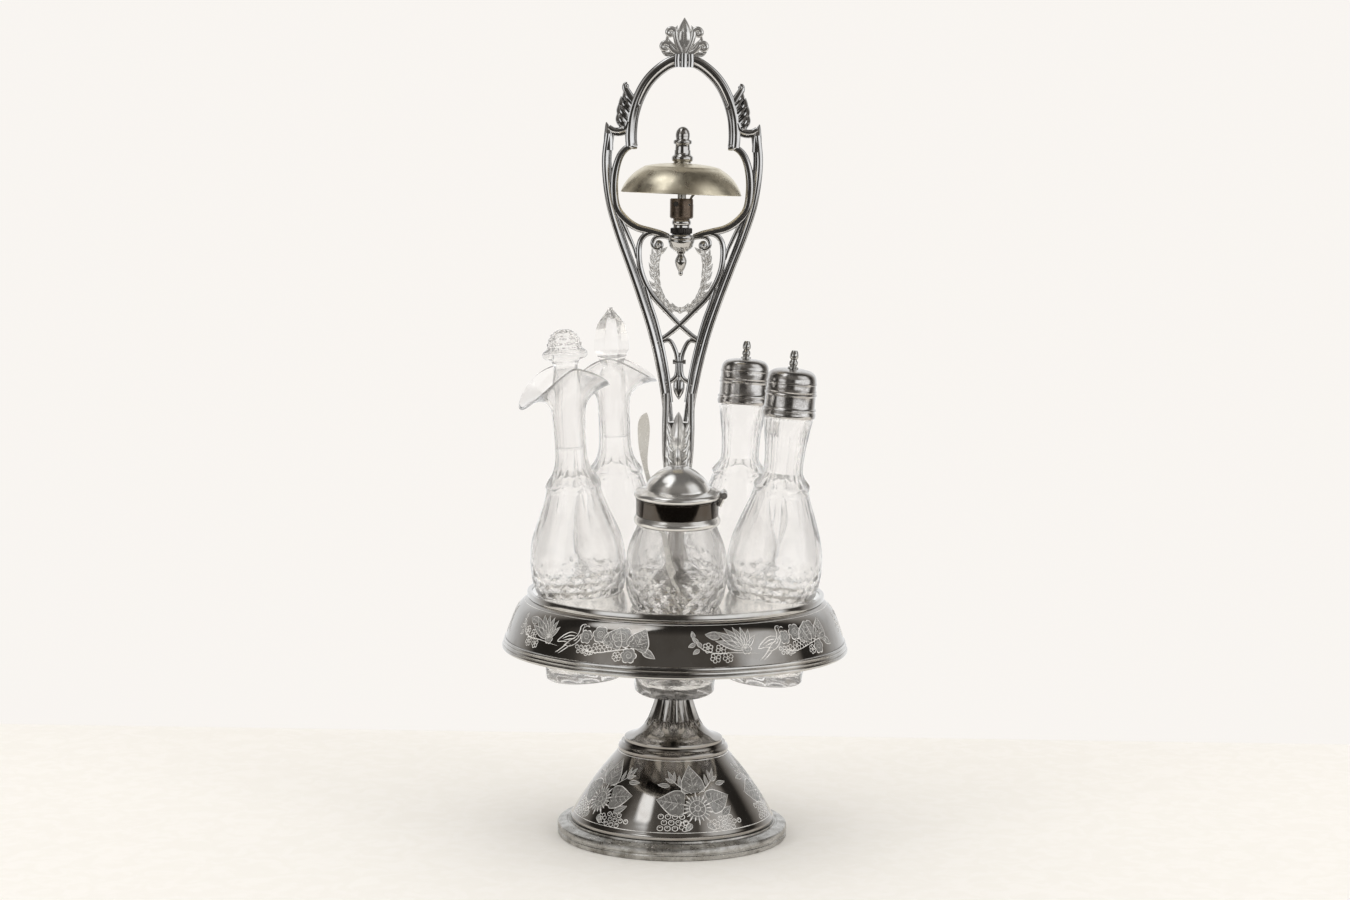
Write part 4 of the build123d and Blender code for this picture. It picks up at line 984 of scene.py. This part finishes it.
def make_handle():
    """The openwork casting: rails, arch, ears, curls, heart scroll and tracery."""
    rail = [(40.4, 393.0), (41.8, 378.0), (39.4, 356.0), (34.1, 338.0), (27.4, 320.0), (20.9, 302.0),
            (15.0, 284.0), (10.5, 266.0), (7.1, 248.0), (5.3, 234.0)]
    arch = [(0, 433.4), (6.4, 432.7), (13.4, 428.4), (19.9, 421.6), (24.8, 412.4), (27.6, 403.0),
            (28.4, 396.0), (28.5, 390.6), (28.2, 386.4)]
    foot = [(29.8, 388.6), (27.6, 386.6), (25.0, 386.2)]
    arm = [(29.4, 399.4), (31.0, 396.0), (34.6, 394.2), (38.4, 394.4), (41.2, 396.0)]
    tip = [(40.9, 384.0), (41.0, 390.0), (41.3, 394.6), (42.3, 399.3)]
    inner_rail = [(19.4, 309.0), (16.6, 299.6), (13.6, 291.0), (10.2, 278.4), (7.4, 265.6),
                  (5.6, 254.6), (4.3, 245.0)]
    wedge = [(36.6, 358.0), (34.0, 348.0), (29.2, 337.4), (25.8, 329.6), (24.6, 324.6)]
    curl = [(26.8, 387.2), (31.2, 385.0), (34.4, 381.0), (36.9, 372.6), (37.5, 362.0), (35.8, 352.0),
            (30.5, 345.5), (24.5, 341.7), (18.0, 340.0), (12.0, 338.6), (7.0, 336.9)]
    heart = [(5.0, 335.8), (9.9, 337.3), (15.2, 339.0), (19.7, 337.8), (22.7, 333.8), (22.9, 322.0),
             (19.6, 311.5), (14.3, 302.9), (7.2, 295.4), (0.2, 288.2), (-6.8, 282.2), (-11.0, 279.4)]
    lower = [(12.6, 277.6), (6.0, 279.4), (2.4, 274.1), (1.0, 266.0), (2.1, 258.7), (7.6, 255.0)]
    parts = both([
        swept(curve(rail, 8), RAIL_SECTION),
        swept(curve(arch, 8), [(a * 1.2, d * 1.02) for a, d in RAIL_SECTION]),
        swept(curve(foot, 5), rounded(4.2, 4.2, 4), lambda t: 1.0 - 0.35 * t ** 2),
        swept(curve(arm, 6), RAIL_SECTION, lambda t: 1.0 - 0.2 * t),
        swept(curve(tip, 6), rounded(5.4, 4.4, 4), lambda t: 1.0 - 0.9 * t ** 3.2),
        swept(curve(inner_rail, 6), rounded(2.5, 3.5, 4)),
        swept(curve(wedge, 6), rounded(2.8, 3.3, 4), lambda t: 1.0 - 0.55 * t ** 2),
        swept(curve(curl, 8), rounded(4.2, 3.5, 4), lambda t: 0.75 + 0.35 * math.sin(math.pi * t) ** 0.6),
        swept(curve(heart, 8), rounded(3.2, 3.4, 4), lambda t: 0.8 + 0.25 * math.sin(math.pi * t) ** 0.6),
        swept(curve(lower, 8), rounded(2.6, 3.0, 4)),
        swept(curve([(8.2, 336.6)] + spiral((12.6, 332.6), 4.6, 1.3, 110, -1.2), 4), rounded(2.4, 3.2, 4),
              lambda t: 1.0 - 0.3 * t),
        ball((12.6, 0, 332.5), 2.0, 0.95),
        ball((14.2, 0, 278.2), 1.8, 0.85),
    ])
    parts += [
        swept([(-3.6, 267.5), (0, 267.5), (3.6, 267.5)], rounded(2.6, 3.0, 3)),
        swept([(0, 270.4), (0, 264.0), (0, 257.4)], rounded(2.6, 3.0, 3)),
        ball((0, 0, 270.8), 1.9, 0.8),
        ribbed_leaf([(0, 259.0), (0, 252.0), (0, 246.4)], 6.4, 3.0),
        ball((0, 0, 259.6), 2.0, 0.8),
        swept([(-3.7, 430.0), (-3.9, 433.4), (-3.7, 437.0)], rounded(3.4, 5.6, 4)),
        swept([(3.7, 430.0), (3.9, 433.4), (3.7, 437.0)], rounded(3.4, 5.6, 4)),
        swept([(0, 429.8), (0, 433.4), (0, 437.4)], rounded(3.9, 6.2, 4)),
    ]
    shank = [(7.0, 250.0), (7.0, 240.0), (7.2, 228.0), (6.9, 216.0), (6.0, 205.8)]
    parts += both([swept(curve(shank, 5), rounded(3.4, 4.5, 4), lambda t: 1.25 - 0.25 * t)])
    plate = [(0, 205.6), (0, 214.0), (0, 221.0), (0, 228.0), (0, 233.6)]
    parts.append(swept(curve(plate, 5), rounded(14.6, 1.8, 3), lambda t: 0.92 + 0.08 * t, lambda t: 1.0))
    parts.append(swept([(0, 192.0), (0, 199.0), (0, 206.0)], rounded(6.2, 6.2, 4)))
    leaf_back = [(30.6, 395.0), (30.2, 402.0), (27.8, 409.0), (25.2, 413.6)]
    leaf_tip = [(25.4, 407.4), (28.6, 412.2), (30.8, 415.8), (32.0, 418.2), (31.9, 419.9), (30.9, 420.2)]
    parts += both([
        swept(curve(leaf_back, 4), rounded(5.6, 3.4, 3), lambda t: 1.0 - 0.55 * t),
        ribbed_leaf([(28.8, 393.8), (32.6, 396.9), (35.4, 400.8), (36.2, 405.2)], 4.8, 4.6, 2),
        ribbed_leaf([(28.4, 397.6), (32.1, 401.4), (35.0, 405.4), (35.6, 409.8)], 4.8, 4.8, 2),
        ribbed_leaf([(27.6, 401.8), (31.0, 405.8), (33.8, 409.6), (34.4, 413.8)], 4.8, 4.8, 2),
        ribbed_leaf([(26.2, 406.0), (29.4, 409.9), (32.0, 413.6), (32.7, 417.2)], 4.4, 4.6, 2),
        swept(curve(leaf_tip, 4), rounded(5.4, 4.0, 3), lambda t: 1.0 - 0.52 * t),
        ball((31.4, 0, 419.2), 1.5, 1.1),
    ])
    piece("handle_casting", *joined(parts), handle_silver, "carousel", ["handle_frame"],
          "handle_silver", sharp=40)


def make_blade_leaves():
    """The raised leaves that climb the handle's blade."""
    parts = both([
        ribbed_leaf([(2.0, 205.8), (5.0, 208.8), (5.6, 212.6), (7.4, 216.6)], 5.0, 7.0, 3),
        ribbed_leaf([(1.8, 210.6), (5.0, 214.2), (5.7, 218.4), (7.6, 223.0)], 5.0, 7.0, 3),
        ribbed_leaf([(1.6, 216.6), (4.8, 220.4), (5.6, 224.8), (7.8, 229.8)], 5.0, 7.0, 3),
        ribbed_leaf([(2.0, 222.8), (4.8, 226.6), (5.8, 230.8), (8.2, 236.4)], 4.8, 6.8, 3),
    ])
    parts.append(ribbed_leaf([(0, 206.0), (0, 212.0), (0, 218.0), (0, 224.6)], 5.6, 8.0, 4))
    parts.append(ribbed_leaf([(0, 216.0), (0, 223.0), (0, 231.0), (0, 239.6)], 9.6, 7.8, 5))
    # The leaves' lighter silver is partly rubbed bright silver and partly a painted highlight.
    piece("blade_leaf_casting", *joined(parts), worn_and_painted_highlight_leaf_silver, "carousel", (), "handle_silver", sharp=40)


def make_crest():
    """The palmette on top of the arch."""
    upper = [(1.0, 437.0), (3.6, 442.4), (4.9, 447.2)] + spiral((7.6, 448.6), 2.7, 0.9, 165, -1.05)
    low = [(2.4, 437.0), (5.6, 438.6), (7.9, 441.4)] + spiral((10.5, 440.9), 2.7, 0.9, 150, -1.05)
    parts = [
        ribbed_leaf([(0, 439.0), (0, 445.0), (0, 451.5), (0, 456.9)], 8.0, 4.4, 1),
        swept([(0, 437.4), (0, 440.0), (0, 444.8)], rounded(6.4, 3.4, 3), lambda t: 1.0 - 0.85 * t,
              lambda t: 1.0 - 0.3 * t),
    ]
    parts += both([
        swept(curve(upper, 4), rounded(3.3, 3.6, 4), lambda t: 1.0 - 0.3 * t),
        swept(curve(low, 4), rounded(3.4, 3.6, 4), lambda t: 1.0 - 0.3 * t),
        ball((7.6, 0, 448.6), 1.5, 1.1),
        ball((10.5, 0, 440.8), 1.5, 1.1),
        ribbed_leaf([(2.0, 440.0), (4.4, 445.0), (4.9, 449.6), (3.8, 452.8)], 3.2, 2.8, 0),
        ribbed_leaf([(3.4, 438.6), (7.0, 441.8), (9.2, 444.6), (9.4, 447.6)], 3.2, 3.4, 0),
        ribbed_leaf([(3.0, 436.8), (7.2, 437.2), (10.0, 437.0), (12.6, 438.4)], 3.0, 3.0, 2),
    ])
    # The crest's lighter silver is a painted highlight.
    piece("crest_casting", *joined(parts), painted_highlight_crest_silver, "carousel", ["crest_palmette"],
          "handle_silver", sharp=40)


def make_garland():
    """The laurel garland inside the heart scroll."""
    stem = curve([(10.8, 330.0), (13.6, 325.8), (14.4, 320.0), (13.9, 313.8), (12.4, 306.8), (9.3, 301.1),
                  (4.9, 297.0), (0, 295.4)], 6)
    parts = [swept(stem, rounded(1.4, 1.8, 3))]
    count = 10
    for k in range(count):
        place = int((k + 1.1) / (count + 1.0) * (len(stem) - 1))
        spot = stem[place]
        ahead = stem[min(place + 2, len(stem) - 1)]
        along = (spot - ahead) / np.linalg.norm(spot - ahead)
        side = np.array([along[1], -along[0]])
        for flip in (-1, 1):
            mid = spot + along * 2.6 + side * flip * 1.5
            tip = spot + along * 6.0 + side * flip * 2.9
            parts.append(ribbed_leaf([spot, mid, tip], 2.6, 2.6, 1, steps=12))
        parts.append(ribbed_leaf([spot, spot + along * 2.4, spot + along * 5.0], 1.9, 3.4, 0, steps=10))
    parts = both(parts)
    parts.append(ball((0, 0, 296.2), 1.9, 0.6))
    parts += both([ribbed_leaf([(0.6, 296.4), (3.2, 297.8), (4.6, 300.4)], 2.6, 2.2, 0, steps=10)])
    # The garland's lighter silver is partly rubbed bright silver and partly a painted highlight.
    piece("garland_casting", *joined(parts), worn_and_painted_highlight_leaf_silver, "carousel", ["laurel_garland"],
          "handle_silver", sharp=40)


make_post()
make_handle()
make_blade_leaves()
make_crest()
make_garland()

# ------------------------------------------------------------------ bell


def knurled(count, depth, low, high):
    """A wave for turned(): a milled edge between two heights."""
    def wave(radius, height, angle):
        """The milled radius."""
        if not low <= height <= high or radius < 3.2:
            return radius, height
        return radius - depth * (0.5 + 0.5 * math.cos(count * angle)), height
    return wave


BELL_TOP = 0.377
BELL_LEAN = math.radians(1.3)


def make_bell():
    """The bell, its knob and nut, and the turnings that hang below it."""
    drop = [(0, 332.0), (1.65, 332.0), (1.65, 329.2), (2.5, 328.6), (2.4, 327.8), (1.8, 327.3)]
    drop += bend([(1.9, 326.9), (3.1, 324.6), (3.3, 322.8), (2.4, 319.8), (1.2, 317.6)], 5)
    drop += [(1.3, 316.9), (1.2, 316.0), (0.7, 315.4), (0, 315.2)]
    piece("drop_finial_turning", *turned(drop, 40, closed=False), bright_silver, "carousel",
          ["drop_finial"], "knob_silver")
    hub = [(1.8, 332.1), (1.8, 328.8), (3.0, 328.7), (4.0, 329.0), (4.6, 329.8), (5.8, 330.4), (6.6, 331.6),
           (7.0, 333.2), (7.4, 334.0), (7.45, 335.0), (7.1, 335.6), (7.3, 336.2), (7.3, 337.2), (6.9, 337.9),
           (2.5, 337.95), (2.5, 333.45), (0, 333.4), (0, 332.2)]
    piece("bell_hub_turning", *turned(hub, 64), bright_silver, "carousel", ["bell_hub"], "knob_silver")
    low = [(2.5, 338.05), (5.2, 338.05), (5.2, 338.6), (5.9, 338.8), (6.1, 339.2), (6.1, 341.3),
           (5.9, 341.7), (5.2, 341.95), (2.5, 341.95)]
    piece("lower_ring_turning", *turned(low, 180, wave=knurled(36, 0.3, 339.0, 341.5)), black_metal,
          "carousel", ["lower_ring"], "black_ring")
    high = [(2.5, 342.05), (4.6, 342.05), (4.6, 343.1), (5.0, 343.5), (5.35, 344.2), (5.4, 344.9),
            (5.2, 345.8), (4.7, 346.4), (4.6, 346.9), (2.5, 346.95)]
    piece("upper_ring_turning", *turned(high, 64), bright_silver, "carousel", ["upper_ring"], "knob_silver")
    outer = bend([(8.0, 377.3), (14.0, 376.7), (18.4, 375.9), (20.9, 375.2), (21.8, 374.6), (24.9, 372.6),
                  (28.4, 369.4), (31.0, 366.0), (32.6, 363.0), (33.3, 361.2)], 8)
    inner = bend([(32.5, 361.0), (30.9, 364.8), (27.9, 369.2), (24.3, 372.5), (19.8, 374.9), (13.0, 376.1),
                  (8.0, 376.4)], 8)
    lip = [(33.4, 360.9), (33.3, 360.55), (32.8, 360.5)]
    cup = [(2.5, 377.4), (5.0, 377.4)] + outer + lip + inner + [(2.5, 376.3)]
    hung = Matrix.Translation((0, 0, BELL_TOP)) @ Matrix.Rotation(BELL_LEAN, 4, "Y")
    hung = hung @ Matrix.Translation((0, 0, -BELL_TOP))
    piece("bell_cup_shell", *turned(cup, 160, wave=dented(0.05, 3.0)), bell_brass, "carousel", ["bell_cup"],
          "bell_brass", hung)
    nut = [(2.5, 377.5), (4.9, 377.5), (5.0, 378.3), (5.6, 378.6), (5.95, 379.3), (6.0, 380.6),
           (5.7, 381.3), (5.0, 381.8), (4.6, 382.3), (4.5, 383.2), (4.5, 384.55), (4.25, 384.55),
           (4.25, 380.3), (2.5, 380.25)]
    piece("bell_nut_turning", *turned(nut, 64), bright_silver, "carousel", ["bell_nut"], "knob_silver")
    knob = [(3.15, 383.2), (4.1, 383.2), (4.15, 385.6), (4.0, 387.2), (4.2, 387.7), (4.9, 388.0),
            (5.15, 388.6), (5.15, 389.6), (4.8, 390.1), (3.9, 390.4), (3.75, 390.9), (4.0, 392.2),
            (3.95, 393.6), (3.5, 395.2), (2.5, 396.6), (1.2, 397.4), (0, 397.6), (0, 390.45),
            (1.4, 390.4), (1.4, 389.15), (3.15, 389.1)]
    piece("plunger_knob", *turned(knob, 56), bright_silver, "bell_plunger", ["plunger_button"],
          "knob_silver")


make_bell()

# ------------------------------------------------------------------ glass


def facet(angle, count, turn=0.0):
    """Share of the corner radius at an angle of a regular polygon."""
    part = TAU / count
    return math.cos(part / 2) / math.cos((angle + turn) % part - part / 2)


FOOT_SWIRLS = 11
FIRST_ROW = 3.6
ROW_STEP = 5.4
CUT_HALF_HEIGHT = 3.4
CUT_WIDTH = 0.98
NECK_FACETS = 8


def swirled(radius, height, angle):
    """The swirled flutes of the part that stands in the tray's hole."""
    if height > -46.5 and radius > 20.6:
        radius -= 0.75 * abs(math.sin(FOOT_SWIRLS * angle / 2 + height * 0.16)) ** 0.6
    return radius, height


def lens_rows(height, angle, count, depths):
    """How deep the rows of lens-shaped cuts are, each row half a cut round from the one below."""
    total = 0.0
    for row, depth in enumerate(depths):
        across = abs((angle / TAU * count + 0.5 * (row % 2)) % 1.0 - 0.5) * 2 / CUT_WIDTH
        up = (height - (FIRST_ROW + ROW_STEP * row)) / CUT_HALF_HEIGHT
        total += depth * max(0.0, 1.0 - across * across - up * up)
    return total


def cut_glass_wave(radius, height, angle):
    """The cutting of a bottle's outside: swirled foot, lens rows, panelled shoulder, collar and neck."""
    if height < -0.5:
        return swirled(radius, height, angle)
    radius -= lens_rows(height, angle, 14, (1.55, 1.3, 0.9))
    panel = smooth_step(height, 30.0, 46.0) * (1 - smooth_step(height, 56.0, 59.0))
    radius *= 1 - panel * (1 - facet(angle, NECK_FACETS)) * 0.6
    if 56.0 < height < 68.0:
        height -= 2.4 * abs(math.sin(NECK_FACETS * angle / 2)) * (1 - abs(height - 61.5) / 6.5)
    neck = smooth_step(height, 60.0, 64.0) * (1 - smooth_step(height, 88.0, 96.0))
    radius *= 1 - neck * (1 - facet(angle, NECK_FACETS)) * 0.8
    return radius, height


BOTTLE_SEGMENTS = 160


def bottle(outer, inner, wave, top):
    """A bottle's closed wall: the cut outside, a top edge and a plain inside.
    The top may hold whole rings of points as well as (radius, height) pairs."""
    foot = [(0.0, -47.0), (8.0, -47.2), (15.0, -47.6), (18.6, -48.0), (20.4, -47.9), (21.6, -46.9),
            (22.2, -45.6)]
    foot += [(22.2, h) for h in np.linspace(-44.0, -1.0, 22)] + [(22.3, 0.0), (23.6, 0.3)]
    inside = inner + [(20.8, 0.0), (19.6, -4.0), (19.2, -8.0), (19.2, -40.0), (17.6, -42.6),
                      (14.0, -43.6), (0.0, -43.8)]
    outline = foot + outer + top + inside
    cut_to = len(foot) + len(outer)
    rings, verts, faces = [], [], []
    for index, level in enumerate(outline):
        if len(level) == 2 and level[0] < 1e-4:
            rings.append([len(verts)])
            verts.append((0.0, 0.0, level[1]))
            continue
        start = len(verts)
        if len(level) == 2:
            for k in range(BOTTLE_SEGMENTS):
                angle = TAU * k / BOTTLE_SEGMENTS
                r, h = wave(*level, angle) if index < cut_to else level
                verts.append((r * math.cos(angle), r * math.sin(angle), h))
        else:
            verts.extend(level)
        rings.append(range(start, start + BOTTLE_SEGMENTS))
    for low, high in zip(rings[:-1], rings[1:]):
        faces += ring_faces(low, high)
    return verts, faces


BODY = [(24.3, 1.2), (25.2, 4.0), (26.2, 9.0), (26.6, 14.0), (26.4, 20.0), (25.6, 27.0), (24.0, 34.0),
        (20.9, 43.0), (17.4, 52.0), (15.7, 57.4), (15.0, 60.6), (15.5, 62.2), (14.4, 63.8),
        (12.4, 66.2), (10.9, 69.0)]
BODY_INSIDE = [(8.4, 72.0), (10.0, 67.0), (12.2, 60.0), (15.4, 52.0), (18.4, 43.0), (20.8, 34.0),
               (22.6, 25.0), (23.4, 15.0), (22.6, 6.0)]


def lip_rings(tips, inside):
    """Rings of the pouring lip, from the neck out to its edge or from the edge back into the neck.
    tips holds the reach and height of the long lobe at -X and the short lobe at +X."""
    rings = []
    steps = 9
    for k in range(1, steps + 1):
        q = 1 - (k - 1) / steps if inside else k / steps
        ring = []
        for n in range(BOTTLE_SEGMENTS):
            angle = TAU * n / BOTTLE_SEGMENTS
            side = math.cos(angle) ** 2
            long_lobe = 0.5 - 0.5 * math.cos(angle)
            reach = tips[0][0] * long_lobe + tips[1][0] * (1 - long_lobe)
            low = tips[0][1] * long_lobe + tips[1][1] * (1 - long_lobe)
            end = (15.6 + (reach - 15.6) * side / (0.25 + 0.75 * side), 124.8 + (low - 124.8) * side)
            first = (9.3 + 0.3 * side, 110.0 - 3.0 * side)
            second = (11.4 + 4.8 * side, 119.0 - 7.5 * side)
            start = (9.15, 100.0)
            if inside:
                start = (7.95, 101.0)
                first = (8.2 + 0.3 * side, 111.6 - 2.6 * side)
                second = (10.3 + 4.6 * side, 120.4 - 6.8 * side)
                end = (end[0] - 0.9 + 0.2 * side, end[1] + 0.9 + 0.6 * side)
            weights = ((1 - q) ** 3, 3 * q * (1 - q) ** 2, 3 * q * q * (1 - q), q ** 3)
            r = sum(w * p[0] for w, p in zip(weights, (start, first, second, end)))
            h = sum(w * p[1] for w, p in zip(weights, (start, first, second, end)))
            ring.append((r * math.cos(angle), r * math.sin(angle), h))
        rings.append(ring)
    return rings


def make_cruet(name, seat, body, node, yaw, tips):
    """A cruet bottle, its pouring lip turned by yaw degrees."""
    outer = bend(BODY, 5)
    outer += bend([(10.3, 70.6), (9.4, 75.0), (9.1, 82.0), (9.1, 91.0), (9.1, 98.2)], 5)
    inner = [(7.85, 97.0), (7.8, 88.0), (7.8, 78.0)] + BODY_INSIDE
    lip = lip_rings(tips, False) + lip_rings(tips, True)
    verts, faces = bottle(outer, inner, cut_glass_wave, lip)
    turn = Matrix.Rotation(math.radians(yaw), 4, "Z")
    piece(name, verts, faces, clear_glass, body, [node], "cut_glass", seat @ turn, sharp=24)


def make_shaker(name, seat, body, node):
    """A shaker bottle, with a plain neck for its cap."""
    outer = bend(BODY, 5)
    outer += bend([(10.9, 70.4), (10.9, 76.0), (11.5, 84.0), (12.5, 91.0), (13.2, 96.0)], 5)
    top = [(13.5, 97.6), (13.6, 98.4), (13.4, 99.2), (12.6, 99.8), (12.4, 102.0), (12.5, 107.0),
           (12.4, 111.4), (12.0, 111.9), (9.6, 111.9)]
    inner = [(9.3, 108.0), (9.2, 98.0), (9.1, 88.0), (9.0, 78.0)] + BODY_INSIDE
    verts, faces = bottle(outer, inner, cut_glass_wave, top)
    piece(name, verts, faces, clear_glass, body, [node], "cut_glass", seat, sharp=24)


def mustard_wave(radius, height, angle):
    """The jar's cutting: swirled foot and honeycomb rows up to its shoulder."""
    if height < -0.5:
        return swirled(radius, height, angle)
    return radius - lens_rows(height, angle, 15, (1.3, 1.2, 1.0, 0.5, 0.25)), height


def make_mustard_jar():
    """The mustard pot's round jar."""
    outer = bend([(24.2, 1.2), (25.9, 5.0), (27.0, 10.0), (27.7, 16.0), (27.6, 22.0), (26.6, 29.0),
                  (25.0, 35.0), (22.6, 40.8), (21.3, 44.0)], 7)
    top = [(21.25, 46.0), (21.25, 50.0), (21.25, 55.6), (20.9, 56.3), (19.8, 56.3), (19.4, 55.6)]
    inner = [(19.3, 50.0), (19.2, 44.0), (21.4, 38.0), (23.0, 32.0), (24.3, 25.0), (24.6, 20.0),
             (24.4, 12.0), (22.8, 5.0)]
    verts, faces = bottle(outer, inner, mustard_wave, top)
    piece("mustard_jar_glass", verts, faces, clear_glass, "mustard_pot", ["mustard_jar"], "cut_glass",
          MUSTARD_SEAT, sharp=24)


make_cruet("cruet_front_bottle", CRUET_FRONT_SEAT, "cruet_front", "cruet_front_glass", 22,
           ((27.4, 104.5), (23.6, 113.5)))
make_cruet("cruet_back_bottle", CRUET_BACK_SEAT, "cruet_back", "cruet_back_glass", 172,
           ((25.4, 111.5), (22.0, 112.0)))
make_shaker("shaker_front_bottle", SHAKER_FRONT_SEAT, "shaker_front", "shaker_front_glass")
make_shaker("shaker_back_bottle", SHAKER_BACK_SEAT, "shaker_back", "shaker_back_glass")
make_mustard_jar()

# ------------------------------------------------------------------ stoppers and caps


DOME_FOOT = 134.4
STUD_ROW = 2.6


def hobnail(radius, height, angle):
    """Studs over the dome of a stopper, and facets round its shank."""
    if height > DOME_FOOT and radius > 0.5:
        row = (height - DOME_FOOT) / STUD_ROW
        shift = math.pi / 2 * (int(row) % 2)
        lump = abs(math.sin(math.pi * row)) * abs(math.sin(10 * angle / 2 + shift))
        return radius * (0.93 + 0.07 * lump), height
    if 118.5 < height < 130.0:
        return radius * (1 - 0.9 * (1 - facet(angle, 8))), height
    return radius, height


def make_stoppers():
    """The cruets' stoppers: a hobnail dome and a faceted spire."""
    plug = [(0, 80.0), (5.6, 80.1), (6.8, 80.5), (7.3, 81.4), (7.4, 90.0), (7.5, 100.0), (7.6, 110.0),
            (7.7, 117.6), (7.2, 120.0), (6.7, 123.0), (6.7, 126.6), (7.6, 128.8), (9.6, 130.0),
            (11.4, 130.6), (12.2, 131.2), (12.5, 132.2), (12.4, 133.4), (11.8, 134.4), (10.8, 135.2)]
    dome = bend([(9.9, 135.8), (9.9, 137.0), (9.5, 139.4), (8.0, 142.6), (5.6, 145.0), (2.8, 146.3)], 7)
    outline = plug + dome + [(0, 146.5)]
    verts, faces = turned(outline, 120, closed=False, wave=hobnail)
    piece("cruet_front_stopper_glass", verts, faces, clear_glass, "cruet_front_plug",
          ["cruet_front_stopper"], "cut_glass", CRUET_FRONT_SEAT, sharp=24)

    def spire(radius, height, angle):
        """Six flat sides above the neck."""
        if height > 119.0 and radius > 0.2:
            return radius * facet(angle, 6, math.pi / 6), height
        return radius, height

    shank = plug[:8] + [(7.3, 119.4), (7.4, 122.0), (8.2, 124.6), (9.4, 126.2), (9.9, 127.4),
                        (9.8, 128.4), (10.3, 129.2), (11.6, 130.4), (11.8, 131.6), (11.3, 136.0),
                        (10.4, 141.0), (9.0, 145.4), (6.2, 148.8), (3.8, 151.2), (2.4, 153.2),
                        (1.3, 154.8), (0, 155.1)]
    verts, faces = turned(shank, 120, closed=False, wave=spire)
    piece("cruet_back_stopper_glass", verts, faces, clear_glass, "cruet_back_plug", ["cruet_back_stopper"],
          "cut_glass", CRUET_BACK_SEAT, sharp=24)


def make_cap(name, seat, body, cap_node, finial_node):
    """A shaker's banded cap and the finial on it."""
    outline = [(12.9, 100.1), (14.5, 100.2), (14.85, 100.8), (14.9, 102.6), (14.5, 103.5),
               (14.45, 103.9), (14.85, 104.4), (14.8, 105.1), (14.2, 105.6), (14.0, 106.2),
               (13.9, 112.0), (14.2, 112.4), (14.6, 113.0), (14.3, 113.6), (13.8, 113.9), (14.0, 114.3),
               (14.2, 114.8), (14.0, 115.3), (13.75, 115.7), (13.75, 118.5), (14.05, 118.9),
               (14.05, 119.4), (13.75, 119.8)]
    outline += bend([(13.7, 120.2), (13.4, 122.2), (12.4, 124.2), (10.4, 125.6), (6.4, 126.5),
                     (1.6, 126.75)], 5)
    inner = [(1.6, 125.7), (5.2, 125.4), (8.8, 124.4), (11.4, 122.4), (12.6, 120.4), (12.9, 118.2)]
    outline += inner
    piece(name + "_cap_shell", *turned(outline, 96, wave=dented(0.12, 3.0)), cap_silver, body, [cap_node],
          "cap_silver", seat)
    knob = [(0, 124.7), (1.5, 124.7), (1.55, 126.8), (3.0, 126.85), (3.0, 127.4), (2.4, 127.8),
            (1.8, 128.0), (2.1, 128.5), (2.45, 129.4), (2.35, 130.6), (1.8, 131.3), (1.6, 131.7),
            (2.1, 132.1), (2.4, 132.8), (2.35, 134.4), (2.0, 135.8), (1.5, 136.7), (0, 136.9)]
    piece(name + "_finial_turning", *turned(knob, 40, closed=False), bright_silver, body, [finial_node],
          "cap_silver", seat)


def make_collar():
    """The mustard pot's collar: a band whose near-black colour is painted shade, over a bright bead, and the
    two ears of its hinge.
    """
    band = [(21.4, 50.0), (22.15, 50.1), (22.2, 50.6), (22.2, 58.2), (22.5, 58.5), (22.5, 59.1),
            (19.7, 59.15), (19.7, 56.65), (21.4, 56.6)]
    piece("mustard_collar_band", *turned(band, 120), painted_shade_band_silver, "mustard_pot", ["mustard_collar"],
          "lid_silver", MUSTARD_SEAT)
    bead = [(21.4, 45.1), (22.5, 45.1), (23.1, 45.7), (23.35, 46.6), (23.3, 47.8), (22.9, 48.8),
            (22.3, 49.5), (22.1, 49.95), (21.4, 49.95)]
    parts = [turned(bead, 120)]
    for side in (-3.7, 3.7):
        ear = swept([(22.3, 55.6), (23.6, 58.4), (24.9, 61.4)],
                    [(a, d + side) for a, d in rounded(2.4, 2.6, 3)])
        eye = turned([(0.9, -1.35), (1.8, -1.35), (1.8, 1.35), (0.9, 1.35)], 32)
        eye_verts = [(24.9 + x, side + z, 61.4 + y) for x, y, z in eye[0]]
        parts += [ear, (eye_verts, [tuple(reversed(f)) for f in eye[1]])]
    piece("mustard_collar_bead", *joined(parts), lid_silver, "mustard_pot", (), "lid_silver", MUSTARD_SEAT)


make_stoppers()
make_collar()
make_cap("shaker_front", SHAKER_FRONT_SEAT, "shaker_front_top", "shaker_front_cap", "shaker_front_finial")
make_cap("shaker_back", SHAKER_BACK_SEAT, "shaker_back_top", "shaker_back_cap", "shaker_back_finial")

# ------------------------------------------------------------------ CAD pieces kept as they are

KEPT = (
    (lid_silver, ["mustard_lid", "mustard_pin"]),
    (bright_silver, ["barrel_screw"]),
    (plate_silver, ["tray_plate"]),
    (dark_silver, ["tray_hub"]),
    (spoon_silver, ["mustard_spoon"]),
    (bronze, ["bell_barrel"]),
    (turned_brass, ["stem_bush"]),
    (turned_steel, ["spindle", "spindle_nut", "bell_post", "plunger_rod", "return_spring", "striker_pin",
                    "striker_arm"]),
)
for finish, names in KEPT:
    for node_name in names:
        mesh = frame["nodes"][node_name].data
        mesh.materials.clear()
        mesh.materials.append(finish)
